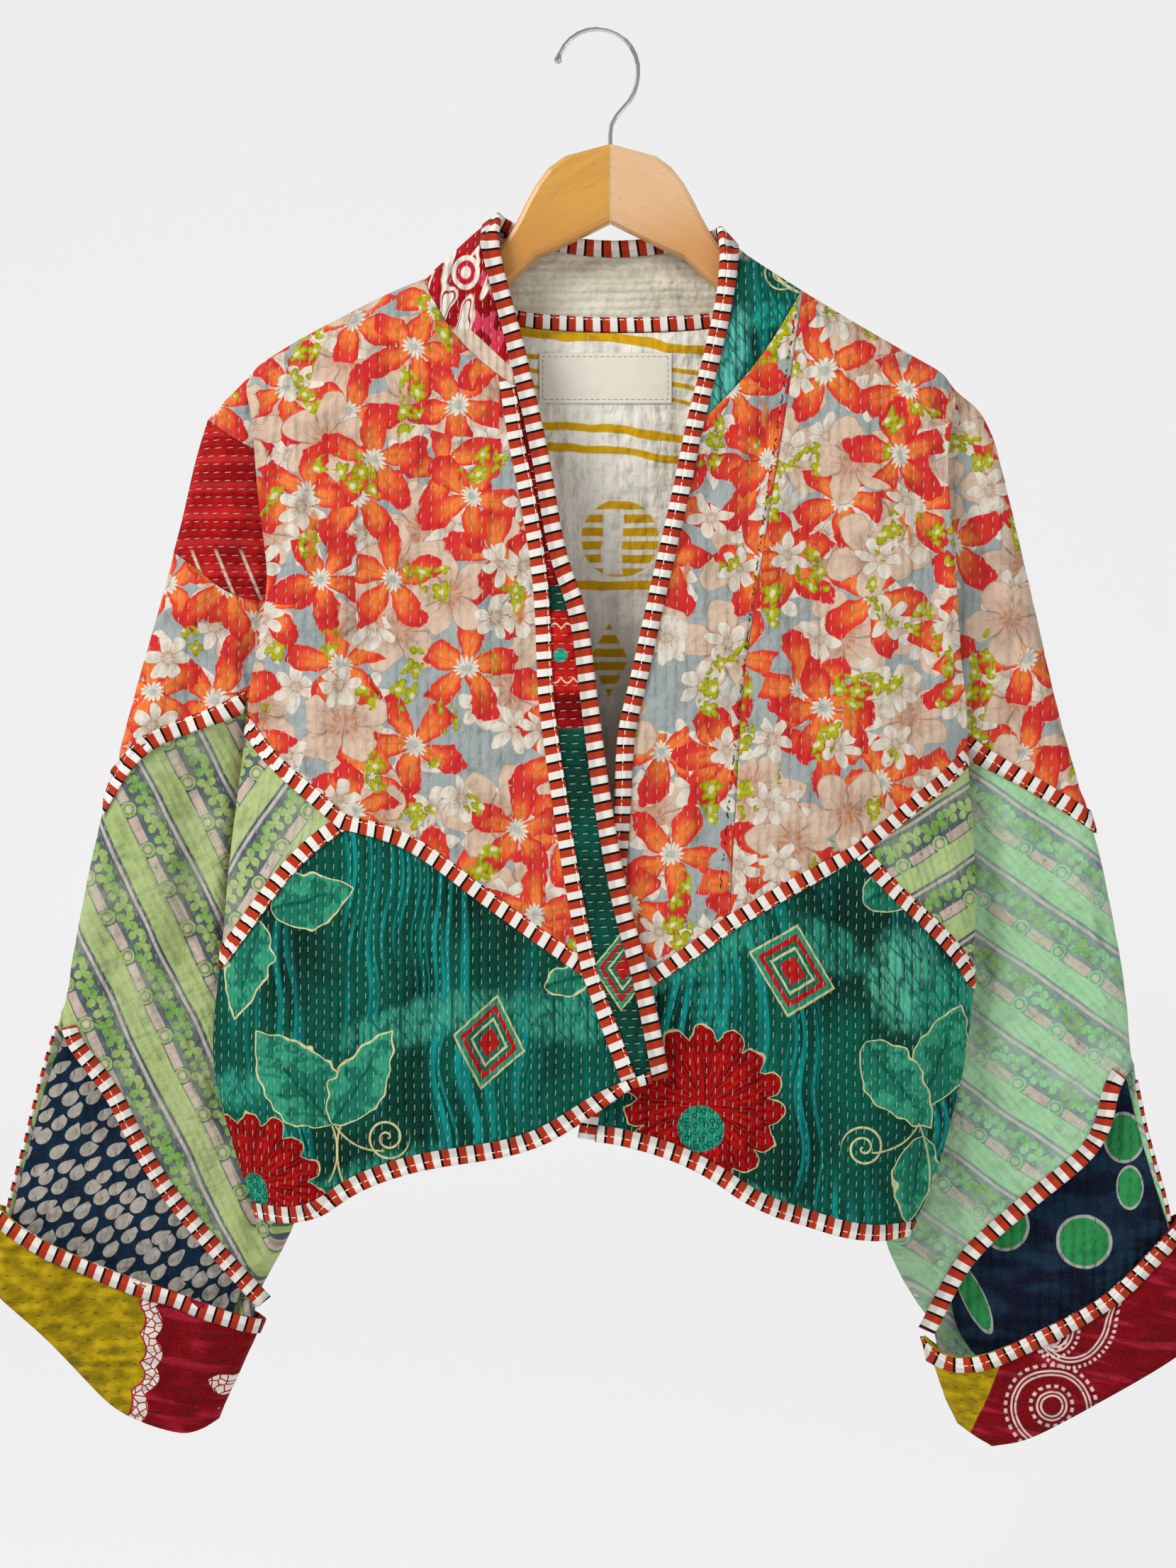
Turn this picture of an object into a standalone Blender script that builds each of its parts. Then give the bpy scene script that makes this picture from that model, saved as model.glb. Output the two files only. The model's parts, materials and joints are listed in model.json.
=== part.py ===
"""A quilted kantha jacket hung on a wooden hanger.

Metres, +Z up, the front faces -Y. The origin is under the crown of the hook's wire, where the hanger hangs.
Left and right are the viewer's. Tables are in millimetres, across and up from the hanger's centre line.
"""

import math

import bmesh
import bpy
import numpy as np
from mathutils import Vector
from mathutils.geometry import delaunay_2d_cdt

MM = 0.001
HANGER_CENTRE = 8.0  # the hanger's centre line stands this far right of the hook's crown

CLOTH = 2.0  # layers quilted together
LINING = 1.0
LABEL = 0.6
BINDING = 1.0
BINDING_WIDTH = 9.5
SEAM_GAP = 0.3
EDGE_GAP = 0.45  # from the cloth's edge to the binding folded round it
CELL_FRONT, CELL_BACK, CELL_SLEEVE, CELL_LINING = 26.0, 42.0, 31.0, 44.0
BORDER_STEP = 21.0  # spacing of the points along seams and edges
SAME_POINT = 0.02
BORDER_SLACK = 0.5
EDGE_KEY = np.array([0.37, 0.11, 0.93])  # orders a wall's edge points the same way on both pieces at a seam

# How a sheet is divided
GUIDE_CLEAR = 1.5  # from a guide to the outline, unless it touches it
FOLD_CLEAR = 5.0  # from a fold guide to another guide
BOUND_CLEAR = 4.0  # from a fold guide to a binding
ROW_RISE = 0.87  # of a cell, from one row of points to the next
EDGE_ROOM = 0.55  # of a cell, kept free along the outline
GUIDE_ROOM = 0.5
SHOULDER_GUIDE = 3.5  # from the shoulder line to the guides beside it
SIDE_GUIDES = (4.0, 16.0)
SLEEVE_GUIDES = (4.0, 14.0)
CROSSING_REACH = 30.0  # length of the guides where the sleeve's seam passes the armhole
SLIT_REACH = 24.0

# Corners where seams and edges meet: across, up
CORNERS = {
    "neck_left": (-114, -153),
    "neck_right": (117, -160),
    "collar_tip_left": (-68, -113),
    "collar_tip_right": (67, -121),
    "tip_left": (-227, -213),
    "tip_right": (215, -217),
    "underarm_left": (-222, -425),
    "underarm_right": (218, -444),
    "band_top": (-63, -218),
    "edge_band_left": (-46, -228),
    "collar_foot_right": (57, -240),
    "edge_foot_right": (47, -243),
    "apex_left": (-161, -485),
    "apex_right": (150, -502),
    "side_apex_left": (-238, -570),
    "side_apex_right": (222, -583),
    "diagonal_foot_left": (-13, -574),
    "diagonal_foot_right": (-5, -598),
    "pieced_foot": (71, -546),
    "hem_side_left": (-216, -727),
    "hem_side_right": (182, -738),
    "hem_band": (12, -643),
    "hem_tip_left": (34, -638),
    "hem_start_right": (-19, -675),
    "cap_left": (-219, -214),
    "cap_right": (207, -220),
    "patch_top": (-246, -239),
    "patch_foot": (-267, -320),
    "patch_inner_top": (-207, -262),
    "patch_inner_foot": (-202, -350),
    "seam_outer_left": (-310, -472),
    "seam_outer_right": (296, -486),
    "seam_inner_left": (-213, -404),
    "seam_inner_right": (209, -428),
    "pit_left": (-227, -424),
    "pit_right": (223, -443),
    "vent_top_left": (-338, -603),
    "vent_top_right": (323, -636),
    "vent_foot_left": (-222, -784),
    "vent_foot_right": (203, -801),
    "sleeve_end_left": (-373, -731),
    "sleeve_end_right": (346, -736),
    "sleeve_foot_left": (-225, -805),
    "sleeve_foot_right": (207, -822),
    "cuff_top_outer_left": (-377, -722),
    "cuff_top_outer_right": (351, -727),
    "cuff_top_inner_left": (-217, -796),
    "cuff_top_inner_right": (196, -807),
    "cuff_end_outer_left": (-382, -771),
    "cuff_end_outer_right": (362, -803),
    "cuff_end_inner_left": (-245, -858),
    "cuff_end_inner_right": (218, -861),
}

# Seams and edges: first corner, points between them, last corner
LINES = {
    "shoulder_left": ("neck_left", ((-141, -164), (-165, -177), (-184, -186), (-203, -198)), "tip_left"),
    "shoulder_right": ("neck_right", ((140, -174), (167, -190), (192, -204)), "tip_right"),
    "armhole_left": (
        "tip_left",
        ((-218, -236), (-214, -285), (-207, -340), (-213, -370), (-219, -405)),
        "underarm_left",
    ),
    "armhole_right": (
        "tip_right",
        ((206, -245), (204, -275), (208, -330), (212, -380), (217, -425)),
        "underarm_right",
    ),
    "side_upper_left": ("underarm_left", ((-232, -503),), "side_apex_left"),
    "side_upper_right": ("underarm_right", ((223, -516),), "side_apex_right"),
    "side_lower_left": (
        "side_apex_left",
        ((-243, -614), (-242, -641), (-235, -668), (-227, -695)),
        "hem_side_left",
    ),
    "side_lower_right": (
        "side_apex_right",
        ((220, -608), (215, -641), (208, -668), (198, -704)),
        "hem_side_right",
    ),
    "collar_ridge_left": ("neck_left", ((-96, -137), (-80, -122)), "collar_tip_left"),
    "collar_ridge_right": ("neck_right", ((92, -144), (76, -133)), "collar_tip_right"),
    "collar_seam_left": ("neck_left", ((-100, -183), (-82, -203)), "band_top"),
    "collar_seam_right": ("neck_right", ((98, -193), (80, -217)), "collar_foot_right"),
    "collar_foot_left": ("band_top", (), "edge_band_left"),
    "collar_end_right": ("collar_foot_right", (), "edge_foot_right"),
    "edge_collar_left": ("collar_tip_left", ((-69, -136), (-63, -161), (-55, -190)), "edge_band_left"),
    "edge_collar_right": ("collar_tip_right", ((68, -143), (65, -168), (58, -200)), "edge_foot_right"),
    "edge_left": (
        "edge_band_left",
        ((-37, -271), (-28, -323), (-16, -357), (-9, -411), (-1, -472), (10, -533), (23, -581)),
        "hem_tip_left",
    ),
    "edge_right": (
        "edge_foot_right",
        ((38, -287), (25, -343), (13, -398), (5, -432), (3, -476), (-2, -540)),
        "diagonal_foot_right",
    ),
    "edge_lower_right": ("diagonal_foot_right", ((-12, -640),), "hem_start_right"),
    "band_seam": (
        "band_top",
        ((-56, -262), (-50, -290), (-42, -344), (-39, -411), (-31, -468), (-24, -515)),
        "diagonal_foot_left",
    ),
    "band_seam_lower": ("diagonal_foot_left", (), "hem_band"),
    "hem_band_left": ("hem_band", (), "hem_tip_left"),
    "pieced_seam": ("neck_right", ((105, -243), (93, -314), (80, -400), (76, -460)), "pieced_foot"),
    "diagonal_outer_left": ("underarm_left", ((-205, -448), (-183, -466)), "apex_left"),
    "diagonal_inner_left": ("apex_left", ((-129, -493), (-104, -508), (-70, -534)), "diagonal_foot_left"),
    "diagonal_outer_right": ("underarm_right", ((204, -459), (188, -471)), "apex_right"),
    "diagonal_mid_right": ("apex_right", ((107, -525),), "pieced_foot"),
    "diagonal_inner_right": ("pieced_foot", ((53, -560), (26, -578)), "diagonal_foot_right"),
    "apex_seam_left": ("apex_left", ((-182, -500), (-204, -524), (-220, -546)), "side_apex_left"),
    "apex_seam_right": ("apex_right", ((170, -526), (194, -547), (213, -568)), "side_apex_right"),
    "hem_left": (
        "hem_side_left",
        ((-181, -726), (-165, -714), (-140, -701), (-108, -691), (-70, -686), (-45, -680), (-15, -662)),
        "hem_band",
    ),
    "hem_right": (
        "hem_start_right",
        ((10, -679), (44, -690), (62, -699), (85, -715), (107, -724), (134, -733), (158, -738)),
        "hem_side_right",
    ),
    "hem_back": (
        "hem_side_left",
        ((-150, -688), (-60, -640), (0, -625), (60, -638), (130, -690)),
        "hem_side_right",
    ),
    "back_seam": ("side_apex_left", ((-120, -578), (0, -580), (110, -580)), "side_apex_right"),
    "neck_low": (
        "neck_left",
        ((-82, -167), (-52, -175), (3, -178), (58, -176), (88, -170)),
        "neck_right",
    ),
    "neck_top": (
        "collar_tip_left",
        ((-50, -119), (-28, -124), (0, -127), (27, -125), (48, -123)),
        "collar_tip_right",
    ),
    "outer_cap_left": ("cap_left", ((-228, -219), (-239, -228)), "patch_top"),
    "outer_patch": ("patch_top", ((-254, -265), (-262, -302)), "patch_foot"),
    "outer_upper_left": ("patch_foot", ((-290, -399),), "seam_outer_left"),
    "outer_upper_right": (
        "cap_right",
        ((216, -223), (226, -231), (233, -242), (243, -280), (260, -352), (277, -424)),
        "seam_outer_right",
    ),
    "outer_lower_left": ("seam_outer_left", ((-320, -510), (-331, -565)), "vent_top_left"),
    "outer_lower_right": ("seam_outer_right", ((302, -507), (316, -576)), "vent_top_right"),
    "outer_slit_left": ("vent_top_left", ((-351, -644), (-363, -693), (-371, -720)), "sleeve_end_left"),
    "outer_slit_right": ("vent_top_right", ((327, -660), (336, -697), (344, -724)), "sleeve_end_right"),
    "lap_cap_left": ("cap_left", ((-211, -238),), "patch_inner_top"),
    "lap_patch": ("patch_inner_top", ((-205, -300),), "patch_inner_foot"),
    "lap_lower_left": ("patch_inner_foot", ((-205, -370),), "seam_inner_left"),
    "lap_lower_right": (
        "cap_right",
        ((198, -245), (196, -275), (200, -330), (204, -380)),
        "seam_inner_right",
    ),
    "lap_pit_left": ("seam_inner_left", ((-221, -414),), "pit_left"),
    "lap_pit_right": ("seam_inner_right", ((217, -436),), "pit_right"),
    "patch_above": ("patch_top", ((-230, -252),), "patch_inner_top"),
    "patch_below": ("patch_foot", ((-246, -335), (-229, -349)), "patch_inner_foot"),
    "sleeve_seam_left": (
        "seam_outer_left",
        ((-297, -451), (-285, -438), (-270, -430), (-240, -419)),
        "seam_inner_left",
    ),
    "sleeve_seam_right": ("seam_outer_right", ((274, -471), (256, -460), (236, -446)), "seam_inner_right"),
    "inner_left": (
        "pit_left",
        ((-225, -450), (-217, -500), (-205, -560), (-194, -640), (-187, -700), (-203, -750), (-217, -774)),
        "vent_foot_left",
    ),
    "inner_right": (
        "pit_right",
        ((221, -470), (212, -520), (200, -590), (180, -670), (171, -740), (186, -777), (196, -791)),
        "vent_foot_right",
    ),
    "inner_end_left": ("vent_foot_left", (), "sleeve_foot_left"),
    "inner_end_right": ("vent_foot_right", (), "sleeve_foot_right"),
    "vent_left": (
        "vent_top_left",
        ((-333, -623), (-311, -652), (-298, -680), (-277, -717), (-245, -757)),
        "vent_foot_left",
    ),
    "vent_right": (
        "vent_top_right",
        ((312, -648), (307, -676), (294, -695), (258, -726), (224, -759)),
        "vent_foot_right",
    ),
    "sleeve_end_line_left": (
        "sleeve_end_left",
        ((-341, -755), (-296, -776), (-243, -797)),
        "sleeve_foot_left",
    ),
    "sleeve_end_line_right": (
        "sleeve_end_right",
        ((325, -764), (280, -801), (228, -826)),
        "sleeve_foot_right",
    ),
    "cuff_outer_left": ("cuff_top_outer_left", ((-384, -742), (-387, -759)), "cuff_end_outer_left"),
    "cuff_outer_right": (
        "cuff_top_outer_right",
        ((358, -745), (365, -768), (368, -790)),
        "cuff_end_outer_right",
    ),
    "cuff_inner_left": ("cuff_top_inner_left", ((-228, -822), (-236, -840)), "cuff_end_inner_left"),
    "cuff_inner_right": ("cuff_top_inner_right", ((200, -823), (207, -843)), "cuff_end_inner_right"),
    "cuff_top_left": (
        "cuff_top_outer_left",
        ((-359, -735), (-341, -746), (-296, -766), (-269, -775), (-243, -786)),
        "cuff_top_inner_left",
    ),
    "cuff_top_right": (
        "cuff_top_outer_right",
        ((327, -753), (305, -776), (280, -791), (253, -805), (228, -817), (210, -818)),
        "cuff_top_inner_right",
    ),
    "cuff_end_line_left": (
        "cuff_end_outer_left",
        ((-366, -785), (-350, -799), (-332, -819), (-316, -837), (-302, -851), (-282, -859), (-262, -865)),
        "cuff_end_inner_left",
    ),
    "cuff_end_line_right": (
        "cuff_end_outer_right",
        ((345, -815), (322, -830), (287, -851), (258, -867), (240, -873)),
        "cuff_end_inner_right",
    ),
}
OUTER_UPPER = {"left": ("outer_cap_left", "outer_patch", "outer_upper_left"), "right": ("outer_upper_right",)}
LAP_UPPER = {"left": ("lap_cap_left", "lap_patch", "lap_lower_left"), "right": ("lap_lower_right",)}

# Lines whose ends lie on a fold of the cloth, where their points stand closer together
FOLD_STEPS = (2.5, 9.0, 21.0)
FOLD_STARTS = {
    "armhole_left", "armhole_right", "hem_left", "hem_back", "back_seam", "diagonal_outer_left",
    "diagonal_outer_right", "collar_seam_left", "collar_seam_right", "edge_collar_left", "edge_collar_right",
    "neck_low", "neck_top", "pieced_seam", "outer_slit_left", "outer_slit_right", "sleeve_seam_left",
    "sleeve_seam_right", "vent_left", "vent_right", "sleeve_end_line_left", "sleeve_end_line_right",
    "cuff_top_left", "cuff_top_right", "cuff_end_line_left", "cuff_end_line_right", "lap_cap_left",
    "lap_lower_right", "patch_above", "patch_below",
}
BOUND_EDGES = {
    "edge_collar_left", "edge_collar_right", "edge_left", "edge_right", "edge_lower_right", "hem_left",
    "hem_band_left", "hem_right", "hem_back", "neck_top", "vent_left", "vent_right", "outer_slit_left",
    "outer_slit_right", "cuff_top_left", "cuff_top_right",
}
FOLD_ENDS = {
    "armhole_left", "armhole_right",
    "hem_right", "hem_back", "back_seam", "apex_seam_left", "apex_seam_right", "neck_low", "neck_top",
    "vent_left", "vent_right", "sleeve_end_line_left", "sleeve_end_line_right", "cuff_top_left",
    "cuff_top_right", "cuff_end_line_left", "cuff_end_line_right",
}

# The body's half depths by height: up, front, back
BODY_DEPTHS = (
    (-110, 13, 13),
    (-150, 14, 13),
    (-213, 16, 14),
    (-300, 22, 18),
    (-425, 26, 21),
    (-560, 28, 23),
    (-745, 31, 23),
)
SHOULDER_ROUND = 13.0  # how far below the shoulder line the cloth reaches its full depth
SIDE_ROUND = 105.0
LAP = 4.7  # the body's cloth lies this far outside the sleeve's where they are sewn together
UNDERARM_CLOSE = 5.5
ARMHOLE_ROLL = 4.0  # the front rolls forward over the sleeve along the armhole

# The largest folds of the fronts: across and up at the top, across and up at the foot, width,
# height towards the front
FRONT_FOLDS = (
    (76, -238, 42, -330, 9, 4.0),
    (90, -250, 60, -345, 11, -3.0),
    (-150, -215, -176, -400, 26, 4.0),
    (-120, -230, -130, -420, 22, -3.5),
    (150, -215, 172, -400, 26, 4.0),
    (125, -240, 136, -420, 20, -3.5),
    (-196, -590, -192, -735, 15, 7.0),
    (-164, -600, -158, -725, 13, -6.0),
    (-104, -580, -96, -705, 22, 4.5),
    (-62, -600, -52, -700, 16, -3.5),
    (168, -610, 150, -745, 15, 7.0),
    (136, -600, 118, -740, 13, -6.0),
    (86, -590, 72, -725, 20, 4.5),
    (44, -600, 30, -705, 16, -3.5),
)
OVERLAP_SPREAD = 3.6  # each front moves this far from the other where they cross

# A sleeve's depths by height: up, outer fold, inner fold, half depth, round of its folds
SLEEVE_DEPTHS = (
    (-210, 0, 0, 8.5, 10),
    (-260, 0, 0, 9, 14),
    (-330, 0, 2, 10, 18),
    (-425, 2, 5, 10, 22),
    (-450, 3, 13, 10, 24),
    (-500, 5, 22, 10, 26),
    (-560, 7, 27, 9.5, 28),
    (-640, 9, 31, 9.5, 28),
    (-720, 9, 33, 9.5, 28),
    (-800, 9, 27, 9, 26),
    (-880, 9, 24, 9, 26),
)
CUFF_LAP = 3.4
VENT_GATES = (2, -3)  # steps of the vent line between which its binding runs
SLIT_GATE = 2
SLIT_TO_CUFF = 1.8  # from the end of the binding on the slit to the cuff's top
ARMHOLE_CLEAR = 4.0  # from the armhole to the end of the binding on the sleeve
NECK_GATES = (3, -4)

# The wooden arms: across and up of the top near the middle, then across and height of the wood
ARM_TOP = (
    (0, -70), (28, -77.5), (40, -87), (50, -103), (58, -119), (66, -131), (78, -144), (96, -154), (106, -160),
)
ARM_HEIGHT = ((0, 48), (18, 52), (33, 53), (45, 45), (58, 33), (80, 27), (116, 25), (204, 17))
ARM_SHOULDER_DROP = 3.7  # from the shoulder line down to the wood
ARM_UNDER = (140, 180)  # more points across its underside, towards the end
ARM_END = 3.0  # the round of its end
ARM_TOP_END = 8.0
ARM_THICK = 12.0
ARM_ROUND = 3.2
MITRE_GAP = 0.15

HOOK_WIRE = 2.8
HOOK_RADIUS = 25.0
HOOK_TIP_ANGLE = 172.0
HOOK_BALL = 5.0
HOOK_BALL_RINGS = (25, 60, 95, 130)  # degrees round the ball
HOOK_SIDES = 10
HOOK_SHANK = ((16.5, -31.0), (13.0, -41.0), (5.5, -50.0), (1.2, -56.0), (0.0, -62.0), (0.0, -69.7))

# Cloth inside the back: its sides, its foot, how far it hangs in front of the back's middle
LINING_SIDE = (
    (-92, -178), (-150, -205), (-178, -228), (-178, -300),
    (-182, -430), (-190, -560), (-186, -640), (-166, -676),
)
LINING_FOOT = ((-140, -668), (-60, -622), (0, -608), (60, -620), (120, -664))
LINING_OFF = 5.2
LABEL_BOX = (-44, -227, 38, -196)
LABEL_CLEAR = 0.2
SLEEVE_LINING = {
    "left": (
        (-330, -612), (-341, -640), (-352, -680), (-360, -712), (-365, -733), (-341, -757), (-296, -778),
        (-258, -792), (-236, -793), (-226, -765), (-250, -720), (-275, -680), (-292, -645), (-310, -612),
    ),
    "right": (
        (314, -645), (320, -672), (328, -700), (336, -725), (339, -737), (322, -764), (300, -787),
        (275, -802), (250, -815), (230, -822), (216, -803), (212, -775), (235, -735), (262, -700),
        (285, -672), (300, -645),
    ),
}
SLEEVE_LINING_OFF = 5.0

COLOURS = {
    "floral": (0.86, 0.42, 0.30),
    "teal": (0.03, 0.28, 0.22),
    "striped": (0.42, 0.55, 0.33),
    "red": (0.55, 0.05, 0.08),
    "cream": (0.68, 0.64, 0.54),
    "label": (0.85, 0.82, 0.74),
    "navy": (0.05, 0.09, 0.15),
    "mustard": (0.42, 0.35, 0.06),
    "binding": (0.78, 0.55, 0.48),
    "wood": (0.72, 0.47, 0.20),
    "wire": (0.75, 0.76, 0.78),
}


def clear_scene():
    for old in list(bpy.data.objects):
        bpy.data.objects.remove(old, do_unlink=True)


def material(kind):
    made = bpy.data.materials.get(kind)
    if made is None:
        made = bpy.data.materials.new(kind)
        made.use_nodes = True
        shader = made.node_tree.nodes["Principled BSDF"]
        shader.inputs["Base Color"].default_value = (*COLOURS[kind], 1)
        shader.inputs["Roughness"].default_value = 0.2 if kind == "wire" else 0.4 if kind == "wood" else 0.85
        shader.inputs["Metallic"].default_value = 1.0 if kind == "wire" else 0.0
    return made


def smooth_line(points, step=BORDER_STEP, fold_start=False, fold_end=False):
    """A smooth curve through the points, read at an even spacing, closer at an end on a fold."""
    points = np.array(points, float)
    if len(points) > 2:
        ends = np.vstack([2 * points[0] - points[1], points, 2 * points[-1] - points[-2]])
        t = np.linspace(0, 1, 12, endpoint=False)[:, None]
        runs = []
        for a, b, c, d in zip(ends, ends[1:], ends[2:], ends[3:]):
            bend = (2 * a - 5 * b + 4 * c - d) * t**2 + (3 * b - a - 3 * c + d) * t**3
            runs.append(0.5 * (2 * b + (c - a) * t + bend))
        points = np.vstack([*runs, points[-1:]])
    along = np.concatenate([[0], np.cumsum(np.linalg.norm(np.diff(points, axis=0), axis=1))])
    length = along[-1]
    steps = [d for d in FOLD_STEPS if d < length * 0.45]
    start = steps[-1] if fold_start and steps else 0.0
    end = length - (steps[-1] if fold_end and steps else 0.0)
    where = np.linspace(start, end, max(2, round((end - start) / step) + 1))
    if start > 0:
        where = np.concatenate([[0.0, *steps[:-1]], where])
    if end < length:
        where = np.concatenate([where, [length - d for d in steps[-2::-1]], [length]])
    return np.column_stack([np.interp(where, along, points[:, k]) for k in range(2)])


def line(name, step=BORDER_STEP):
    first, between, last = LINES[name]
    ends = name in FOLD_STARTS, name in FOLD_ENDS
    return smooth_line([CORNERS[first], *between, CORNERS[last]], step, *ends)


def chain(*names):
    """Named lines end to end as one, each turned to follow the one before."""
    path = line(names[0])
    if len(names) > 1:
        after = line(names[1])
        if min(np.abs(path[0] - after[0]).sum(), np.abs(path[0] - after[-1]).sum()) < 1e-6:
            path = path[::-1]
    for name in names[1:]:
        piece = line(name)
        if np.abs(piece[0] - path[-1]).sum() > 1e-6:
            piece = piece[::-1]
        path = np.vstack([path, piece[1:]])
    return path


def distance(points, path):
    """From each point to the nearest place on a path."""
    a, b = path[:-1], path[1:]
    run = b - a
    rel = points[:, None, :] - a[None]
    share = np.clip((rel * run).sum(2) / np.maximum((run**2).sum(1), 1e-12), 0, 1)
    away = np.linalg.norm(rel - share[..., None] * run, axis=2).min(1)
    return np.where(away < SAME_POINT, 0.0, away)


def beside(path, by=0.0, extra=9.0):
    """The path moved sideways, to its left when by is positive, and run on past both ends."""
    run = np.gradient(path, axis=0)
    run /= np.linalg.norm(run, axis=1)[:, None]
    moved = path + by * np.column_stack([-run[:, 1], run[:, 0]])
    return np.vstack([moved[:1] - extra * run[:1], moved, moved[-1:] + extra * run[-1:]])


def inside(points, loop):
    a, b = loop, np.roll(loop, -1, axis=0)
    x, z = points[:, None, 0], points[:, None, 1]
    crosses = (a[:, 1] > z) != (b[:, 1] > z)
    rise = np.where(b[:, 1] == a[:, 1], 1e-9, b[:, 1] - a[:, 1])
    at = a[:, 0] + (z - a[:, 1]) * (b[:, 0] - a[:, 0]) / rise
    return (crosses & (x < at)).sum(1) % 2 == 1


def rounded(share, power):
    share = np.clip(share, 0, 1)
    return (1 - (1 - share) ** power) ** (1 / power)


def ease(value, start, end):
    share = np.clip((value - start) / (end - start), 0, 1)
    return share * share * (3 - 2 * share)


def table(rows, column, up):
    rows = np.array(rows, float)[::-1]
    return np.interp(up, rows[:, 0], rows[:, column])


def side_of(points):
    return np.where(points[:, 0] < 0, "left", "right")


FOLD_LINES = {
    side: {
        "top": chain(f"shoulder_{side}", f"collar_ridge_{side}"),
        "side": chain(f"armhole_{side}", f"side_upper_{side}", f"side_lower_{side}"),
        "armhole": line(f"armhole_{side}"),
    }
    for side in ("left", "right")
}
SLEEVE_FOLDS = {
    side: {
        "outer": chain(*OUTER_UPPER[side], f"outer_lower_{side}", f"outer_slit_{side}"),
        "inner": chain(f"inner_{side}", f"inner_end_{side}"),
        "cuff_outer": line(f"cuff_outer_{side}"),
        "cuff_inner": line(f"cuff_inner_{side}"),
    }
    for side in ("left", "right")
}


def tube_depth(points, outer, inner, extra, face):
    """Depth of a flat tube's front (face -1) or back (face 1) between its two folds."""
    to_outer, to_inner = distance(points, outer), distance(points, inner)
    share = to_outer / np.maximum(to_outer + to_inner, 1e-9)
    up = points[:, 1]
    middle = table(SLEEVE_DEPTHS, 1, up) * (1 - share) + table(SLEEVE_DEPTHS, 2, up) * share
    round_off = rounded(np.minimum(to_outer, to_inner) / table(SLEEVE_DEPTHS, 4, up), 2)
    return middle + face * (table(SLEEVE_DEPTHS, 3, up) + extra) * round_off


def sleeve_depth(points, side, face):
    return tube_depth(points, SLEEVE_FOLDS[side]["outer"], SLEEVE_FOLDS[side]["inner"], 0, face)


def cuff_depth(points, side, face):
    folds = SLEEVE_FOLDS[side]
    return tube_depth(points, folds["cuff_outer"], folds["cuff_inner"], CUFF_LAP, face)


def armhole_depth(points, side, face):
    """How far the body's cloth stands off at the armhole, over the sleeve sewn inside it."""
    path = FOLD_LINES[side]["armhole"][::-1]
    up = points[:, 1]
    across = np.interp(up, path[:, 1], path[:, 0])
    sleeve = face * sleeve_depth(np.column_stack([across, up]), side, face)
    bottom = CORNERS[f"underarm_{side}"][1]
    top = CORNERS[f"tip_{side}"][1]
    along = np.clip((up - bottom) / (top - bottom), 0, 1)
    roll = ARMHOLE_ROLL * np.sin(math.pi * along) if face < 0 else 0.0
    return ease(up, bottom, bottom + UNDERARM_CLOSE) * (sleeve + LAP + roll)


def folds(points, rows):
    """Soft ridges and troughs along straight runs, fading at their ends."""
    height = np.zeros(len(points))
    for x0, z0, x1, z1, width, rise in rows:
        start, run = np.array([x0, z0]), np.array([x1 - x0, z1 - z0])
        length = np.linalg.norm(run)
        rel = points - start
        along = (rel @ run) / length**2
        aside = (rel @ np.array([-run[1], run[0]])) / length
        height += rise * np.exp(-((aside / width) ** 2)) * ease(along, 0, 0.45) * ease(along, 1.25, 0.8)
    return height


def body_depth(points, face):
    """Depth of the body's front (face -1) or back (face 1), without folds or overlap."""
    depth = np.zeros(len(points))
    for side in ("left", "right"):
        here = side_of(points) == side
        if not here.any():
            continue
        at = points[here]
        full = table(BODY_DEPTHS, 1 if face < 0 else 2, at[:, 1])
        edge = armhole_depth(at, side, face)
        rise = rounded(distance(at, FOLD_LINES[side]["side"]) / SIDE_ROUND, 1.6)
        top = np.minimum(*(distance(at, FOLD_LINES[s]["top"]) for s in ("left", "right")))
        depth[here] = (edge + (full - edge) * rise) * rounded(top / SHOULDER_ROUND, 2)
    return face * depth


def front_left(points):
    side = distance(points, FOLD_LINES["left"]["side"])
    rise = folds(points, FRONT_FOLDS) * rounded(side / 40, 2)
    over = ease(points[:, 1], -395, -490) * ease(points[:, 0], -80, -28)
    return body_depth(points, -1) - rise - OVERLAP_SPREAD * over


def front_right(points):
    side = distance(points, FOLD_LINES["right"]["side"])
    rise = folds(points, FRONT_FOLDS) * rounded(side / 40, 2)
    under = ease(points[:, 1], -395, -490) * ease(points[:, 0], 88, 42)
    return body_depth(points, -1) - rise * (1 - 0.8 * under) + OVERLAP_SPREAD * under


def back(points):
    return body_depth(points, 1)


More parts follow.
